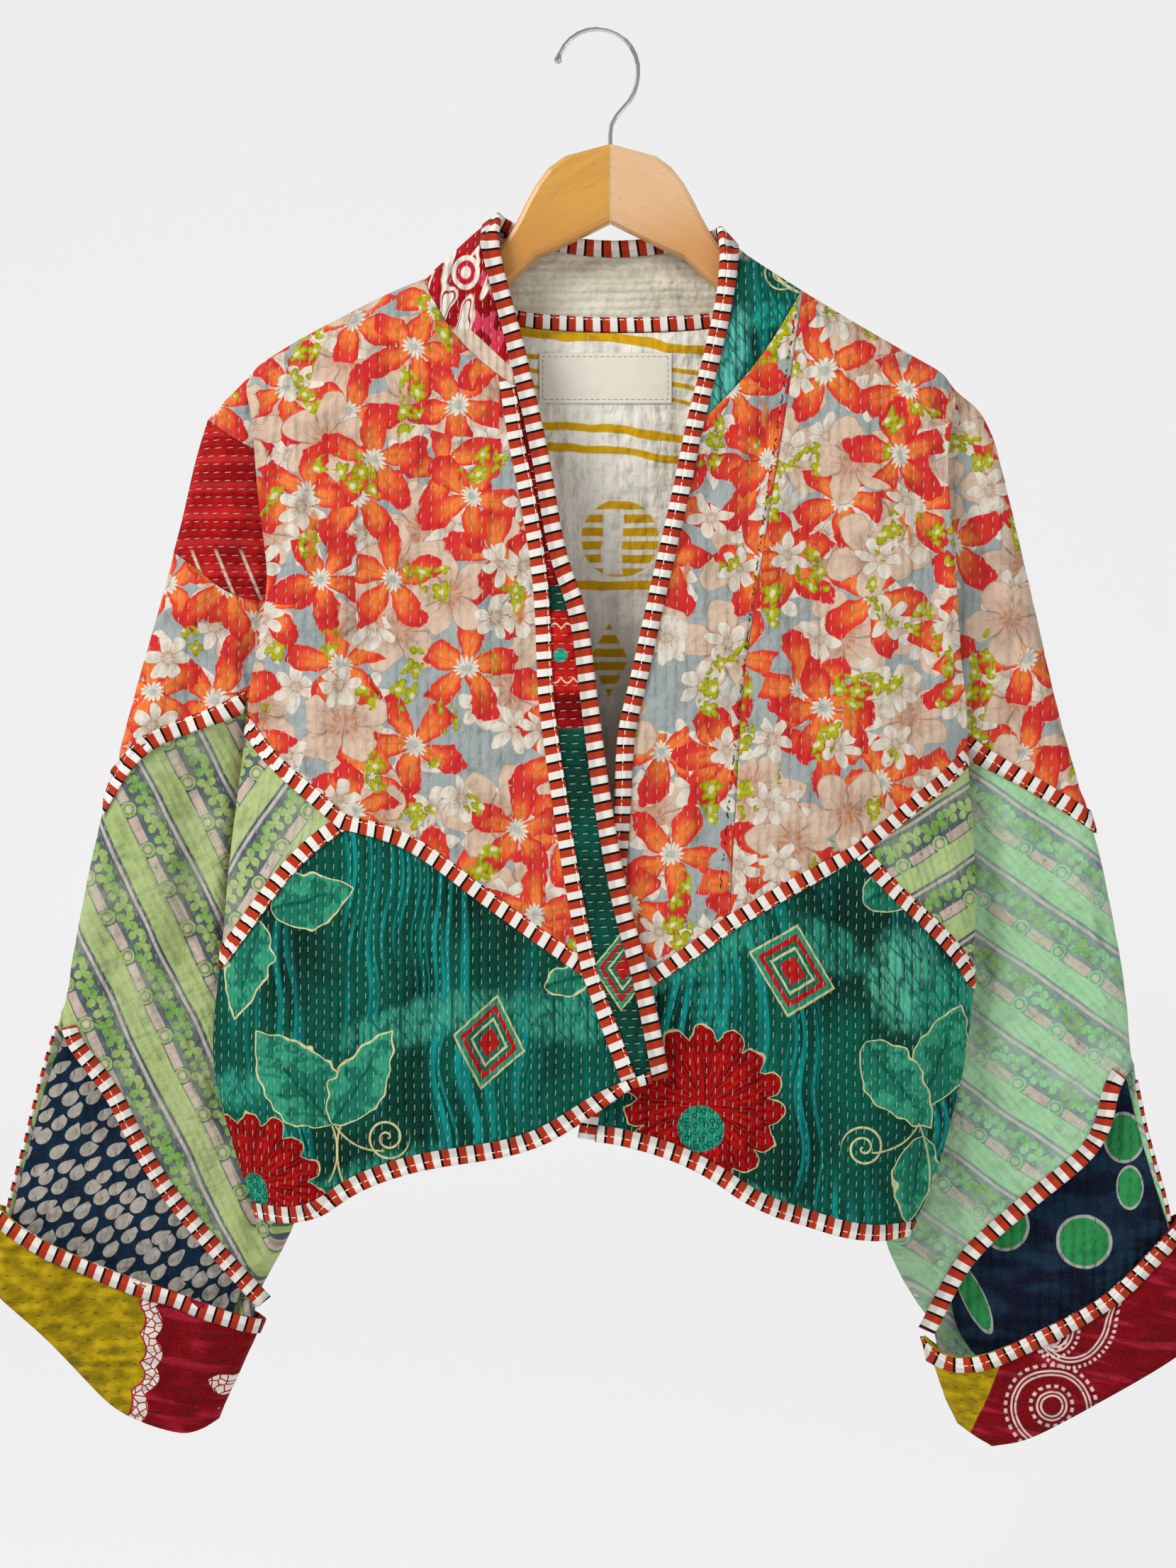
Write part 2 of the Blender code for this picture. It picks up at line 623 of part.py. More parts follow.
class Sheet:
    """A triangulated mid-surface: points in mm, the way out at each point, and faces seen from outside."""

    def __init__(self, points, faces, normals=None):
        self.points, self.faces = np.asarray(points, float), np.asarray(faces, int)
        self.normals = self.face_normals_at_points() if normals is None else normals

    def face_normals_at_points(self):
        a, b, c = (self.points[self.faces[:, k]] for k in range(3))
        areas = np.cross(b - a, c - a)
        normals = np.zeros_like(self.points)
        for k in range(3):
            np.add.at(normals, self.faces[:, k], areas)
        return normals / np.maximum(np.linalg.norm(normals, axis=1), 1e-12)[:, None]

    def moved_out(self, by):
        return Sheet(self.points + by * self.normals, self.faces, self.normals)

    def border(self):
        """Directed border edges, each with the sheet on its left seen from outside."""
        edges = {}
        for a, b, c in self.faces:
            for start, end in ((a, b), (b, c), (c, a)):
                edges[(start, end)] = True
        return [(i, j) for i, j in edges if (j, i) not in edges]

    def trimmed(self, by=SEAM_GAP / 2):
        """The sheet with its borders drawn in along its own surface."""
        ahead, behind = {}, {}
        for i, j in self.border():
            ahead[i], behind[j] = j, i
        points = self.points.copy()
        for i in ahead:
            if i not in behind:
                continue
            along_in = self.points[i] - self.points[behind[i]]
            along_out = self.points[ahead[i]] - self.points[i]
            inward = np.zeros(3)
            for run in (along_in, along_out):
                step = np.cross(self.normals[i], run)
                inward += step / max(np.linalg.norm(step), 1e-9)
            size = np.linalg.norm(inward)
            if size > 0.2:
                points[i] += inward / size * by * min(2 / size, 1.6)
        return Sheet(points, self.faces, self.normals)


def joined(*sheets):
    """Sheets made one where their border points coincide."""
    points = np.vstack([s.points for s in sheets])
    starts = np.cumsum([0] + [len(s.points) for s in sheets[:-1]])
    faces = np.vstack([s.faces + start for s, start in zip(sheets, starts)])
    faces = np.array([np.argmax(np.abs(points - p).max(1) < SAME_POINT) for p in points])[faces]
    faces = faces[(faces[:, 0] != faces[:, 1]) & (faces[:, 1] != faces[:, 2]) & (faces[:, 0] != faces[:, 2])]
    kept, index = np.unique(faces, return_inverse=True)
    return Sheet(points[kept], index.reshape(-1, 3))


def clear_runs(path, keep):
    """The stretches of a path whose points are kept."""
    runs, now = [], []
    for point, ok in zip(path, keep):
        if ok:
            now.append(point)
        elif now:
            runs.append(now)
            now = []
    return [np.array(run) for run in [*runs, now] if len(run) > 0]


def region(outline, guides, fold_guides, depth, face, cell):
    """A sheet over an outline, given as lines' names or points, at the depth that a function gives.

    Guides stay edges of the sheet. Fold guides do too, where they keep clear of guides and of bound edges.
    """
    loop = chain(*outline)[:-1] if isinstance(outline, tuple) else outline
    bound = [line(name) for name in outline if name in BOUND_EDGES] if isinstance(outline, tuple) else []
    ahead = np.roll(loop, -1, axis=0)
    if (loop[:, 0] * ahead[:, 1] - ahead[:, 0] * loop[:, 1]).sum() < 0:
        loop = loop[::-1]
    closed = np.vstack([loop, loop[:1]])
    guides = [g for g in guides if inside(np.vstack([g, (g[1:] + g[:-1]) / 2]), loop).any()]
    for k, guide in enumerate(guides):
        away = distance(guide, closed)
        guides[k] = guide[(away == 0) | (away > GUIDE_CLEAR)]
    lines = [*guides]
    for guide in fold_guides:
        keep = inside(guide, loop) & (distance(guide, closed) > GUIDE_CLEAR)
        for other in guides:
            keep &= distance(guide, other) > FOLD_CLEAR
        for edge in bound:
            keep &= distance(guide, edge) > BINDING_WIDTH + BOUND_CLEAR
        lines += clear_runs(guide, keep)
    low, high = loop.min(0), loop.max(0)
    grid = np.array([
        (x + (k % 2) * cell / 2, z)
        for k, z in enumerate(np.arange(low[1], high[1], cell * ROW_RISE))
        for x in np.arange(low[0], high[0], cell)
    ])
    keep = inside(grid, loop) & (distance(grid, closed) > EDGE_ROOM * cell)
    for guide in lines:
        if len(guide) > 1:
            keep &= distance(grid, guide) > GUIDE_ROOM * cell
    points, edges = [*loop], []
    for guide in lines:
        edges += [(len(points) + k, len(points) + k + 1) for k in range(len(guide) - 1)]
        points += [*guide]
    points += [*grid[keep]]
    made = delaunay_2d_cdt([Vector(p) for p in points], edges, [list(range(len(loop)))], 0, 1e-4, True)
    corners = np.array([tuple(v) for v in made[0]])
    triangles = np.array([f for f, origin in zip(made[2], made[5]) if 0 in origin])
    a, b, c = (corners[triangles[:, k]] for k in range(3))
    turn = (b[:, 0] - a[:, 0]) * (c[:, 1] - a[:, 1]) - (b[:, 1] - a[:, 1]) * (c[:, 0] - a[:, 0])
    wrong = turn * face > 0
    triangles[wrong] = triangles[wrong][:, ::-1]
    triangles = triangles[np.abs(turn) > 1e-5]
    used, index = np.unique(triangles, return_inverse=True)
    corners = corners[used]
    return Sheet(np.column_stack([corners[:, 0], depth(corners), corners[:, 1]]), index.reshape(-1, 3))


def edge_wall(mesh, i, j, top, foot, key):
    """Two triangles across a wall's edge, cut the same way on both pieces that meet there."""
    if key[i] < key[j]:
        mesh.faces.new((top[j], top[i], foot[i]))
        mesh.faces.new((top[j], foot[i], foot[j]))
    else:
        mesh.faces.new((top[j], top[i], foot[j]))
        mesh.faces.new((top[i], foot[i], foot[j]))


def layer(mesh, points):
    """A mesh's corners at points in millimetres."""
    return [mesh.verts.new(((x + HANGER_CENTRE) * MM, y * MM, z * MM)) for x, y, z in points]


def wall(name, kind, sheet, thick):
    """A closed wall about a sheet, as an object."""
    key = sheet.points @ EDGE_KEY
    sheet = sheet.trimmed()
    mesh = bmesh.new()
    top, foot = (layer(mesh, sheet.points + way * thick / 2 * sheet.normals) for way in (1, -1))
    for a, b, c in sheet.faces:
        mesh.faces.new((top[a], top[b], top[c]))
        mesh.faces.new((foot[c], foot[b], foot[a]))
    for i, j in sheet.border():
        edge_wall(mesh, i, j, top, foot, key)
    return finish(name, kind, mesh)


def finish(name, kind, mesh):
    data = bpy.data.meshes.new(name)
    mesh.to_mesh(data)
    mesh.free()
    data.shade_smooth()
    data.set_sharp_from_angle(angle=math.radians(40))
    data.materials.append(material(kind))
    made = bpy.data.objects.new(name, data)
    bpy.context.scene.collection.objects.link(made)
    return made


def matched(sheets):
    """Give each sheet a point wherever a neighbour has one on the border that they share."""
    rims = {name: sheet.points[sorted({i for i, _ in sheet.border()})] for name, sheet in sheets.items()}
    for name, sheet in sheets.items():
        others = np.vstack([rim for other, rim in rims.items() if other != name])
        points, faces = [*sheet.points], [tuple(f) for f in sheet.faces]
        owner = {(f[k], f[(k + 1) % 3]): n for n, f in enumerate(faces) for k in range(3)}
        for i, j in sheet.border():
            start, run = points[i], points[j] - points[i]
            length = np.linalg.norm(run)
            along = (others - start) @ run / length
            away = np.linalg.norm(others - start - along[:, None] * run / length, axis=1)
            between = (away < BORDER_SLACK) & (along > 0.1) & (along < length - 0.1)
            for at, point in sorted(zip(along[between], map(tuple, others[between]))):
                if np.linalg.norm(points[i] - point) < 0.1:
                    continue
                n = owner[(i, j)]
                corner = next(k for k in faces[n] if k not in (i, j))
                points.append(np.array(point))
                new = len(points) - 1
                faces[n] = (i, new, corner)
                faces.append((new, j, corner))
                owner[(i, new)] = owner[(corner, i)] = n
                owner[(new, j)] = owner[(j, corner)] = len(faces) - 1
                i = new
        sheet.points, sheet.faces = np.array(points), np.array(faces)


class Skin:
    """Sheets sewn edge to edge: their shared normals, and the bands of them that bindings lie on."""

    def __init__(self, sheets):
        matched(sheets)
        self.sheets = sheets
        whole = joined(*sheets.values())
        self.points, self.normals = whole.points, whole.normals
        for sheet in sheets.values():
            sheet.normals = self.normal(sheet.points)
        self.free = {name: np.ones(len(sheet.faces), bool) for name, sheet in sheets.items()}

    def normal(self, points):
        return np.array([self.normals[np.argmin(((self.points - p) ** 2).sum(1))] for p in points])

    def tube(self, names):
        made = joined(*(self.sheets[name] for name in names))
        made.normals = self.normal(made.points)
        return made

    def band(self, names, path, width, within=None):
        """The named sheets' faces beside a path that no band has taken yet, as one sheet."""
        parts = []
        for name in names:
            sheet = self.sheets[name]
            centres = sheet.points[sheet.faces].mean(1)[:, [0, 2]]
            chosen = self.free[name] & (distance(centres, path) < width + 0.2)
            if within is not None:
                chosen &= within(centres)
            if chosen.any():
                self.free[name] &= ~chosen
                parts.append(Sheet(sheet.points, sheet.faces[chosen], sheet.normals))
        made = joined(*parts)
        made.normals = self.normal(made.points)
        return made


def left_of(points, path):
    """Whether points lie to the left of a path's direction."""
    middle = (path[1:] + path[:-1]) / 2
    nearest = np.argmin(((points[:, None] - middle[None]) ** 2).sum(2), axis=1)
    run, rel = path[nearest + 1] - path[nearest], points - path[nearest]
    return run[:, 0] * rel[:, 1] - run[:, 1] * rel[:, 0] > 0


def gate(path, step, by):
    """A short line across a band, from a point of the path to the same point of the line beside it."""
    return np.array([path[step], beside(path, by)[1:-1][step]])


def strip(name, sheet, face=1, under=CLOTH):
    """A flat binding sewn on a sheet's cloth, outside it or, with face -1, inside it."""
    wall(name, "binding", sheet.moved_out(face * (under / 2 + SEAM_GAP + BINDING / 2)), BINDING)


def wrapped_edge(name, sheet, path, under=CLOTH):
    """A binding folded round a free edge, from the band of cloth that it covers."""
    key = sheet.points @ EDGE_KEY
    on_path = distance(sheet.points[:, [0, 2]], path) < SAME_POINT * 2
    sheet = sheet.trimmed(0.7 * SEAM_GAP)
    border = sheet.border()
    free = [(i, j) for i, j in border if on_path[i] and on_path[j]]
    starts, ends = {i for i, _ in free}, {j for _, j in free}
    out = np.zeros_like(sheet.points)
    for i, j in free:
        step = np.cross(sheet.points[j] - sheet.points[i], sheet.normals[i] + sheet.normals[j])
        for k in (i, j):
            out[k] += step / np.linalg.norm(step)
    for i, j in border:
        if (i, j) not in free:
            if i in ends and i not in starts:
                out[i] = sheet.points[i] - sheet.points[j]
            if j in starts and j not in ends:
                out[j] = sheet.points[j] - sheet.points[i]
    out -= sheet.normals * (out * sheet.normals).sum(1)[:, None]
    out /= np.maximum(np.linalg.norm(out, axis=1), 1e-9)[:, None]
    near, far = under / 2 + SEAM_GAP, under / 2 + SEAM_GAP + BINDING
    mesh = bmesh.new()
    outer, inner, inner_back, outer_back = (
        layer(mesh, sheet.points + out * EDGE_GAP + by * sheet.normals) for by in (far, near, -near, -far)
    )
    around = sorted(starts | ends)
    turned = sheet.points + out * (EDGE_GAP + BINDING)
    turns = [
        dict(zip(around, layer(mesh, (turned + by * sheet.normals)[around])))
        for by in (0.6 * near, -0.6 * near)
    ]
    for a, b, c in sheet.faces:
        for top, foot in ((outer, inner), (inner_back, outer_back)):
            mesh.faces.new((top[a], top[b], top[c]))
            mesh.faces.new((foot[c], foot[b], foot[a]))
    for i, j in border:
        if (i, j) in free:
            for top, foot in ((outer, turns[0]), turns, (turns[1], outer_back), (inner_back, inner)):
                edge_wall(mesh, i, j, top, foot, key)
        else:
            edge_wall(mesh, i, j, outer, inner, key)
            edge_wall(mesh, i, j, inner_back, outer_back, key)
    for k in starts ^ ends:
        cap = [outer[k], turns[0][k], turns[1][k], outer_back[k], inner_back[k], inner[k]]
        mesh.faces.new(cap[::-1] if k in starts else cap)
    bmesh.ops.triangulate(mesh, faces=[f for f in mesh.faces if len(f.verts) > 3])
    return finish(name, "binding", mesh)


FREE_EDGES = {
    "left": chain("edge_collar_left", "edge_left"),
    "right": chain("edge_collar_right", "edge_right", "edge_lower_right"),
}
SEAMS = {
    "diagonal_left": chain("diagonal_outer_left", "diagonal_inner_left"),
    "diagonal_right": chain("diagonal_outer_right", "diagonal_mid_right", "diagonal_inner_right"),
    "band": chain("band_seam", "band_seam_lower"),
    "hem_left": chain("hem_left", "hem_band_left"),
}
HALF = BINDING_WIDTH / 2

# Pieces of the fronts: kind of cloth, the lines round the piece
FRONT_PIECES = {
    "left": {
        "front_upper_left": (
            "floral",
            (
                "shoulder_left", "armhole_left", "diagonal_outer_left", "diagonal_inner_left", "band_seam",
                "collar_seam_left",
            ),
        ),
        "front_side_left": ("striped", ("diagonal_outer_left", "apex_seam_left", "side_upper_left")),
        "front_lower_left": (
            "teal",
            ("apex_seam_left", "side_lower_left", "hem_left", "band_seam_lower", "diagonal_inner_left"),
        ),
        "front_band_left": (
            "red",
            ("collar_foot_left", "edge_left", "hem_band_left", "band_seam_lower", "band_seam"),
        ),
        "collar_left": (
            "red",
            ("collar_ridge_left", "edge_collar_left", "collar_foot_left", "collar_seam_left"),
        ),
    },
    "right": {
        "front_upper_right": (
            "floral",
            ("shoulder_right", "armhole_right", "diagonal_outer_right", "diagonal_mid_right", "pieced_seam"),
        ),
        "front_inner_right": (
            "floral",
            ("pieced_seam", "diagonal_inner_right", "edge_right", "collar_end_right", "collar_seam_right"),
        ),
        "front_side_right": ("striped", ("diagonal_outer_right", "apex_seam_right", "side_upper_right")),
        "front_lower_right": (
            "teal",
            (
                "apex_seam_right", "side_lower_right", "hem_right", "edge_lower_right",
                "diagonal_inner_right", "diagonal_mid_right",
            ),
        ),
        "collar_right": (
            "teal",
            ("collar_ridge_right", "edge_collar_right", "collar_end_right", "collar_seam_right"),
        ),
    },
}
BACK_PIECES = {
    "back_upper": (
        "floral",
        (
            "shoulder_left", "armhole_left", "side_upper_left", "back_seam", "side_upper_right",
            "armhole_right", "shoulder_right", "neck_low",
        ),
    ),
    "back_lower": ("teal", ("back_seam", "side_lower_right", "hem_back", "side_lower_left")),
    "neck_band": ("cream", ("collar_ridge_left", "neck_top", "collar_ridge_right", "neck_low")),
}


def fold_guides(side):
    """Lines just inside the body's folds on one side, where the cloth turns most."""
    turn = 1 if side == "left" else -1
    top, edge = FOLD_LINES[side]["top"], FOLD_LINES[side]["side"]
    return [
        *(beside(top, SHOULDER_GUIDE * turn * t) for t in (1, -1)),
        *(beside(edge, by * t) for by in SIDE_GUIDES for t in (1, -1)),
    ]


def body_sheets():
    depths = {"left": front_left, "right": front_right}
    both = [1, -1]
    guides = {
        "left": [
            beside(FREE_EDGES["left"], -BINDING_WIDTH),
            beside(SEAMS["hem_left"], BINDING_WIDTH),
            *(beside(SEAMS[name], t * HALF) for name in ("diagonal_left", "band") for t in both),
            *(beside(line("apex_seam_left"), t * HALF) for t in both),
        ],
        "right": [
            beside(FREE_EDGES["right"], BINDING_WIDTH),
            beside(line("hem_right"), BINDING_WIDTH),
            *(beside(SEAMS["diagonal_right"], t * HALF) for t in both),
            *(beside(line("apex_seam_right"), t * HALF) for t in both),
        ],
        "back": [
            beside(line("hem_back"), BINDING_WIDTH),
            beside(line("neck_top"), -BINDING_WIDTH),
            *(beside(line(name), t * HALF) for name in ("back_seam", "neck_low") for t in both),
            *(gate(line("neck_low"), k, t * HALF) for k in NECK_GATES for t in both),
        ],
    }
    sheets = {}
    for side, pieces in FRONT_PIECES.items():
        for name, (_, names) in pieces.items():
            sheets[name] = region(names, guides[side], fold_guides(side), depths[side], -1, CELL_FRONT)
    for name, (_, names) in BACK_PIECES.items():
        all_folds = fold_guides("left") + fold_guides("right")
        sheets[name] = region(names, guides["back"], all_folds, back, 1, CELL_BACK)
    return sheets


def make_body():
    sheets = body_sheets()
    skin = Skin(sheets)
    for pieces in (*FRONT_PIECES.values(), BACK_PIECES):
        for name, (kind, _) in pieces.items():
            wall(name, kind, sheets[name], CLOTH)
    make_body_bindings(skin)
    make_back_lining()


def make_body_bindings(skin):
    """Bindings in the order in which they run through where two meet."""
    fronts = {side: tuple(pieces) for side, pieces in FRONT_PIECES.items()}
    for side in ("left", "right"):
        path = FREE_EDGES[side]
        wrapped_edge(f"edge_binding_{side}", skin.band(fronts[side], path, BINDING_WIDTH), path)
    backs = ("back_upper", "back_lower", "neck_band")
    for name, names, path in (
        ("neck_binding", backs, line("neck_top")),
        ("hem_binding_left", fronts["left"], SEAMS["hem_left"]),
        ("hem_binding_right", fronts["right"], line("hem_right")),
        ("hem_binding_back", backs, line("hem_back")),
    ):
        wrapped_edge(name, skin.band(names, path, BINDING_WIDTH), path)
    body = ("front_upper_left", "front_band_left", "front_lower_left")
    strip("band_seam_binding", skin.band(body, SEAMS["band"], HALF))
    for side in ("left", "right"):
        strip(f"diagonal_binding_{side}", skin.band(fronts[side], SEAMS[f"diagonal_{side}"], HALF))
        strip(f"apex_binding_{side}", skin.band(fronts[side], line(f"apex_seam_{side}"), HALF))
    strip("back_seam_binding", skin.band(backs, line("back_seam"), HALF))
    seam = line("neck_low")
    low, high = (seam[k, 0] for k in NECK_GATES)

    def between(points):
        return (points[:, 0] > low) & (points[:, 0] < high)

    strip("neck_seam_binding", skin.band(backs, seam, HALF, between), face=-1)


def make_back_lining():
    """The cream cloth inside the back, and the bare label sewn on it."""
    mirrored = [(-x, z) for x, z in LINING_SIDE[::-1]]
    top = beside(line("neck_low"), -HALF - 1.0)[::-1]
    top = top[np.abs(top[:, 0]) < 92]
    loop = smooth_line([*LINING_SIDE, *LINING_FOOT, *mirrored], 30.0)
    lining = region(np.vstack([loop, top]), [], [], lambda p: back(p) - LINING_OFF, 1, CELL_LINING)
    wall("back_lining", "cream", lining, LINING)
    x0, z0, x1, z1 = LABEL_BOX
    loop = np.array([(x0, z0), ((x0 + x1) / 2, z0), (x1, z0), (x1, z1), ((x0 + x1) / 2, z1), (x0, z1)], float)
    off = LINING_OFF + LINING / 2 + SEAM_GAP + LABEL / 2 + LABEL_CLEAR
    wall("label", "label", region(loop, [], [], lambda p: back(p) - off, 1, CELL_LINING), LABEL)


def make_sleeve(side):
    upper, lap = OUTER_UPPER[side], LAP_UPPER[side]
    seam, pit = f"sleeve_seam_{side}", f"lap_pit_{side}"
    turn = 1 if side == "left" else -1
    slit, vent, seam_path = line(f"outer_slit_{side}"), line(f"vent_{side}"), line(seam)
    armhole = beside(FOLD_LINES[side]["armhole"], -turn * ARMHOLE_CLEAR)
    over_cuff = beside(line(f"cuff_top_{side}"), turn * SLIT_TO_CUFF)
    guides = [
        *(beside(seam_path, t * HALF) for t in (1, -1)),
        *clear_runs(armhole, distance(armhole, seam_path) < CROSSING_REACH),
    ]
    front_guides = [
        *guides,
        beside(vent, turn * BINDING_WIDTH),
        *(gate(vent, k, turn * BINDING_WIDTH) for k in VENT_GATES),
    ]
    back_guides = [
        *guides,
        beside(slit, turn * BINDING_WIDTH),
        gate(slit, SLIT_GATE, turn * BINDING_WIDTH),
        *clear_runs(over_cuff, distance(over_cuff, slit) < SLIT_REACH),
    ]
    folds_near = [
        beside(SLEEVE_FOLDS[side][name], t * by)
        for name in ("outer", "inner")
        for by in SLEEVE_GUIDES
        for t in (1, -1)
    ]

    def sheet(names, face):
        lines = front_guides if face < 0 else back_guides
        return region(names, lines, folds_near, lambda p: sleeve_depth(p, side, face), face, CELL_SLEEVE)

    upper_loop = (*upper, seam, *lap[::-1])
    sheets = {}
    if side == "left":
        sheets["cap"] = sheet(("outer_cap_left", "patch_above", "lap_cap_left"), -1)
        sheets["patch"] = sheet(("outer_patch", "patch_below", "lap_patch", "patch_above"), -1)
        sheets["upper"] = sheet(("outer_upper_left", seam, "lap_lower_left", "patch_below"), -1)
    else:
        sheets["upper"] = sheet(upper_loop, -1)
    sheets["upper_back"] = sheet(upper_loop, 1)
    outer_lower, outer_slit = f"outer_lower_{side}", f"outer_slit_{side}"
    inner, inner_end, end_line = f"inner_{side}", f"inner_end_{side}", f"sleeve_end_line_{side}"
    sheets["lower"] = sheet((seam, pit, inner, f"vent_{side}", outer_lower), -1)
    sheets["lower_back"] = sheet((seam, pit, inner, inner_end, end_line, outer_slit, outer_lower), 1)
    skin = Skin(sheets)
    whole_upper = [k for k in ("cap", "upper", "upper_back") if k in sheets]
    wall(f"sleeve_upper_{side}", "floral", skin.tube(whole_upper), CLOTH)
    wall(f"sleeve_lower_{side}", "striped", skin.tube(["lower", "lower_back"]), CLOTH)
    if side == "left":
        wall("sleeve_patch_left", "red", sheets["patch"], CLOTH)

    def outside(points):
        return left_of(points, armhole) == (side == "right")

    def vent_between(points):
        low, high = (gate(vent, k, turn * BINDING_WIDTH) for k in VENT_GATES)
        return (left_of(points, low) == (side == "right")) & (left_of(points, high) == (side == "left"))

    def slit_between(points):
        top = gate(slit, SLIT_GATE, turn * BINDING_WIDTH)
        return (left_of(points, top) == (side == "right")) & (left_of(points, over_cuff) == (side == "left"))

    strip(f"sleeve_seam_binding_{side}", skin.band(tuple(sheets), seam_path, HALF, outside))
    wrapped_edge(f"vent_binding_{side}", skin.band(("lower",), vent, BINDING_WIDTH, vent_between), vent)
    wrapped_edge(f"slit_binding_{side}", skin.band(("lower_back",), slit, BINDING_WIDTH, slit_between), slit)
    loop = np.array(SLEEVE_LINING[side], float)
    lining = region(loop, [], [], lambda p: sleeve_depth(p, side, 1) - SLEEVE_LINING_OFF, 1, CELL_SLEEVE)
    wall(f"sleeve_lining_{side}", "navy", lining, LINING)


def make_cuff(side):
    turn = 1 if side == "left" else -1
    top, foot = f"cuff_top_{side}", f"cuff_end_line_{side}"
    guides = [beside(line(top), -turn * BINDING_WIDTH)]
    folds_near = [
        beside(line(f"cuff_{name}_{side}"), t * by)
        for name in ("outer", "inner")
        for by in SLEEVE_GUIDES
        for t in (1, -1)
    ]
    outline = (top, f"cuff_inner_{side}", foot, f"cuff_outer_{side}")

    def depth(face):
        return lambda points: cuff_depth(points, side, face)

    sheets = {
        name: region(outline, guides, folds_near, depth(face), face, CELL_SLEEVE)
        for name, face in (("front", -1), ("back", 1))
    }
    skin = Skin(sheets)
    wall(f"cuff_{side}", "mustard", skin.tube(tuple(sheets)), CLOTH)
    strip(f"cuff_binding_{side}", skin.band(tuple(sheets), line(top), BINDING_WIDTH))


def make_arm(side):
    """One wooden arm of the hanger, cut out flat and rounded."""
    turn = -1 if side == "left" else 1
    shoulder = line(f"shoulder_{side}") - (0, ARM_SHOULDER_DROP)
    reach = ARM_HEIGHT[-1][0]
    end = np.array([turn * reach, np.interp(reach, np.abs(shoulder[:, 0]), shoulder[:, 1])])
    neck = smooth_line([*((turn * x, z) for x, z in ARM_TOP[1:]), tuple(shoulder[0])], 12.0)
    shoulder = shoulder[np.abs(shoulder[:, 0]) < reach - ARM_TOP_END]
    top = np.vstack([[(turn * MITRE_GAP, ARM_TOP[0][1])], neck[:-1], shoulder, [end - (turn * ARM_END, 0)]])
    heights = np.array(ARM_HEIGHT, float)
    across = np.array([*(h[0] for h in ARM_HEIGHT[:-1]), *ARM_UNDER, reach - ARM_END], float)
    low = np.interp(across, np.abs(top[:, 0]), top[:, 1]) - np.interp(across, heights[:, 0], heights[:, 1])
    across[0] = MITRE_GAP
    bottom = np.column_stack([turn * across, low])[::-1]
    loop = np.vstack([top, [end - (0, 5)], [end - (0, 12)], bottom])
    mesh = bmesh.new()
    for y in (-ARM_THICK / 2, ARM_THICK / 2):
        mesh.faces.new([mesh.verts.new(((x + HANGER_CENTRE) * MM, y * MM, z * MM)) for x, z in loop])
    mesh.verts.ensure_lookup_table()
    count = len(loop)
    for k in range(count):
        ahead = (k + 1) % count
        mesh.faces.new([mesh.verts[i] for i in (k, ahead, ahead + count, k + count)])
    bmesh.ops.recalc_face_normals(mesh, faces=mesh.faces)
    rim = [
        e for e in mesh.edges
        if abs(e.verts[0].co.y - e.verts[1].co.y) < 1e-9
        and max(abs(v.co.x / MM - HANGER_CENTRE) for v in e.verts) > MITRE_GAP + 0.01
    ]
    bmesh.ops.bevel(
        mesh, geom=rim, offset=ARM_ROUND * MM, segments=2, affect="EDGES", profile=0.5, clamp_overlap=True
    )
    bmesh.ops.triangulate(mesh, faces=mesh.faces)
    finish(f"hanger_{side}", "wood", mesh)


def make_hook():
    """The wire from its ball tip over the crown and down to the wood."""
    centre = (-HANGER_CENTRE, HOOK_WIRE / 2 - HOOK_RADIUS)
    arc = [
        (centre[0] + HOOK_RADIUS * math.cos(a), centre[1] + HOOK_RADIUS * math.sin(a))
        for a in np.radians(np.linspace(HOOK_TIP_ANGLE, 0, 19))
    ]
    path = smooth_line([*arc, *HOOK_SHANK], 6.0)
    run = path[1] - path[0]
    run /= np.linalg.norm(run)
    ball = HOOK_BALL / 2
    tip = [
        (path[0] + run * (ball * (1 - math.cos(a))), ball * math.sin(a))
        for a in np.radians(HOOK_BALL_RINGS)
    ]
    rows = [*tip, *((p, HOOK_WIRE / 2) for p in path[1:])]
    mesh = bmesh.new()
    centres = np.array([p for p, _ in rows])
    ways = np.gradient(centres, axis=0)
    ways /= np.linalg.norm(ways, axis=1)[:, None]
    rings = []
    for (point, radius), (wx, wz) in zip(rows, ways):
        ring = []
        for a in np.linspace(0, 2 * math.pi, HOOK_SIDES, endpoint=False):
            out, y = radius * math.cos(a), radius * math.sin(a)
            x, z = point[0] - wz * out + HANGER_CENTRE, point[1] + wx * out
            ring.append(mesh.verts.new((x * MM, y * MM, z * MM)))
        rings.append(ring)
    for ring, ahead in zip(rings, rings[1:]):
        for k in range(HOOK_SIDES):
            turned = (k + 1) % HOOK_SIDES
            mesh.faces.new((ring[k], ring[turned], ahead[turned], ahead[k]))
    mesh.faces.new(rings[0])
    mesh.faces.new(rings[-1])
    bmesh.ops.recalc_face_normals(mesh, faces=mesh.faces)
    bmesh.ops.triangulate(mesh, faces=mesh.faces)
    finish("hanger_hook", "wire", mesh)


def build():
    clear_scene()
    make_body()
    for side in ("left", "right"):
        make_sleeve(side)
        make_cuff(side)
        make_arm(side)
    make_hook()


build()
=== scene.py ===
"""A quilted kantha jacket on its hanger: cloth, bindings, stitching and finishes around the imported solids.

Metres, +Z up, the front faces -Y. Left and right are the viewer's.
Tables of places are in millimetres, across and up from the hanger's centre line, as the solids' own are.
"""

import json
import math

import bmesh
import bpy
import numpy as np
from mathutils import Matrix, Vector
from mathutils.bvhtree import BVHTree

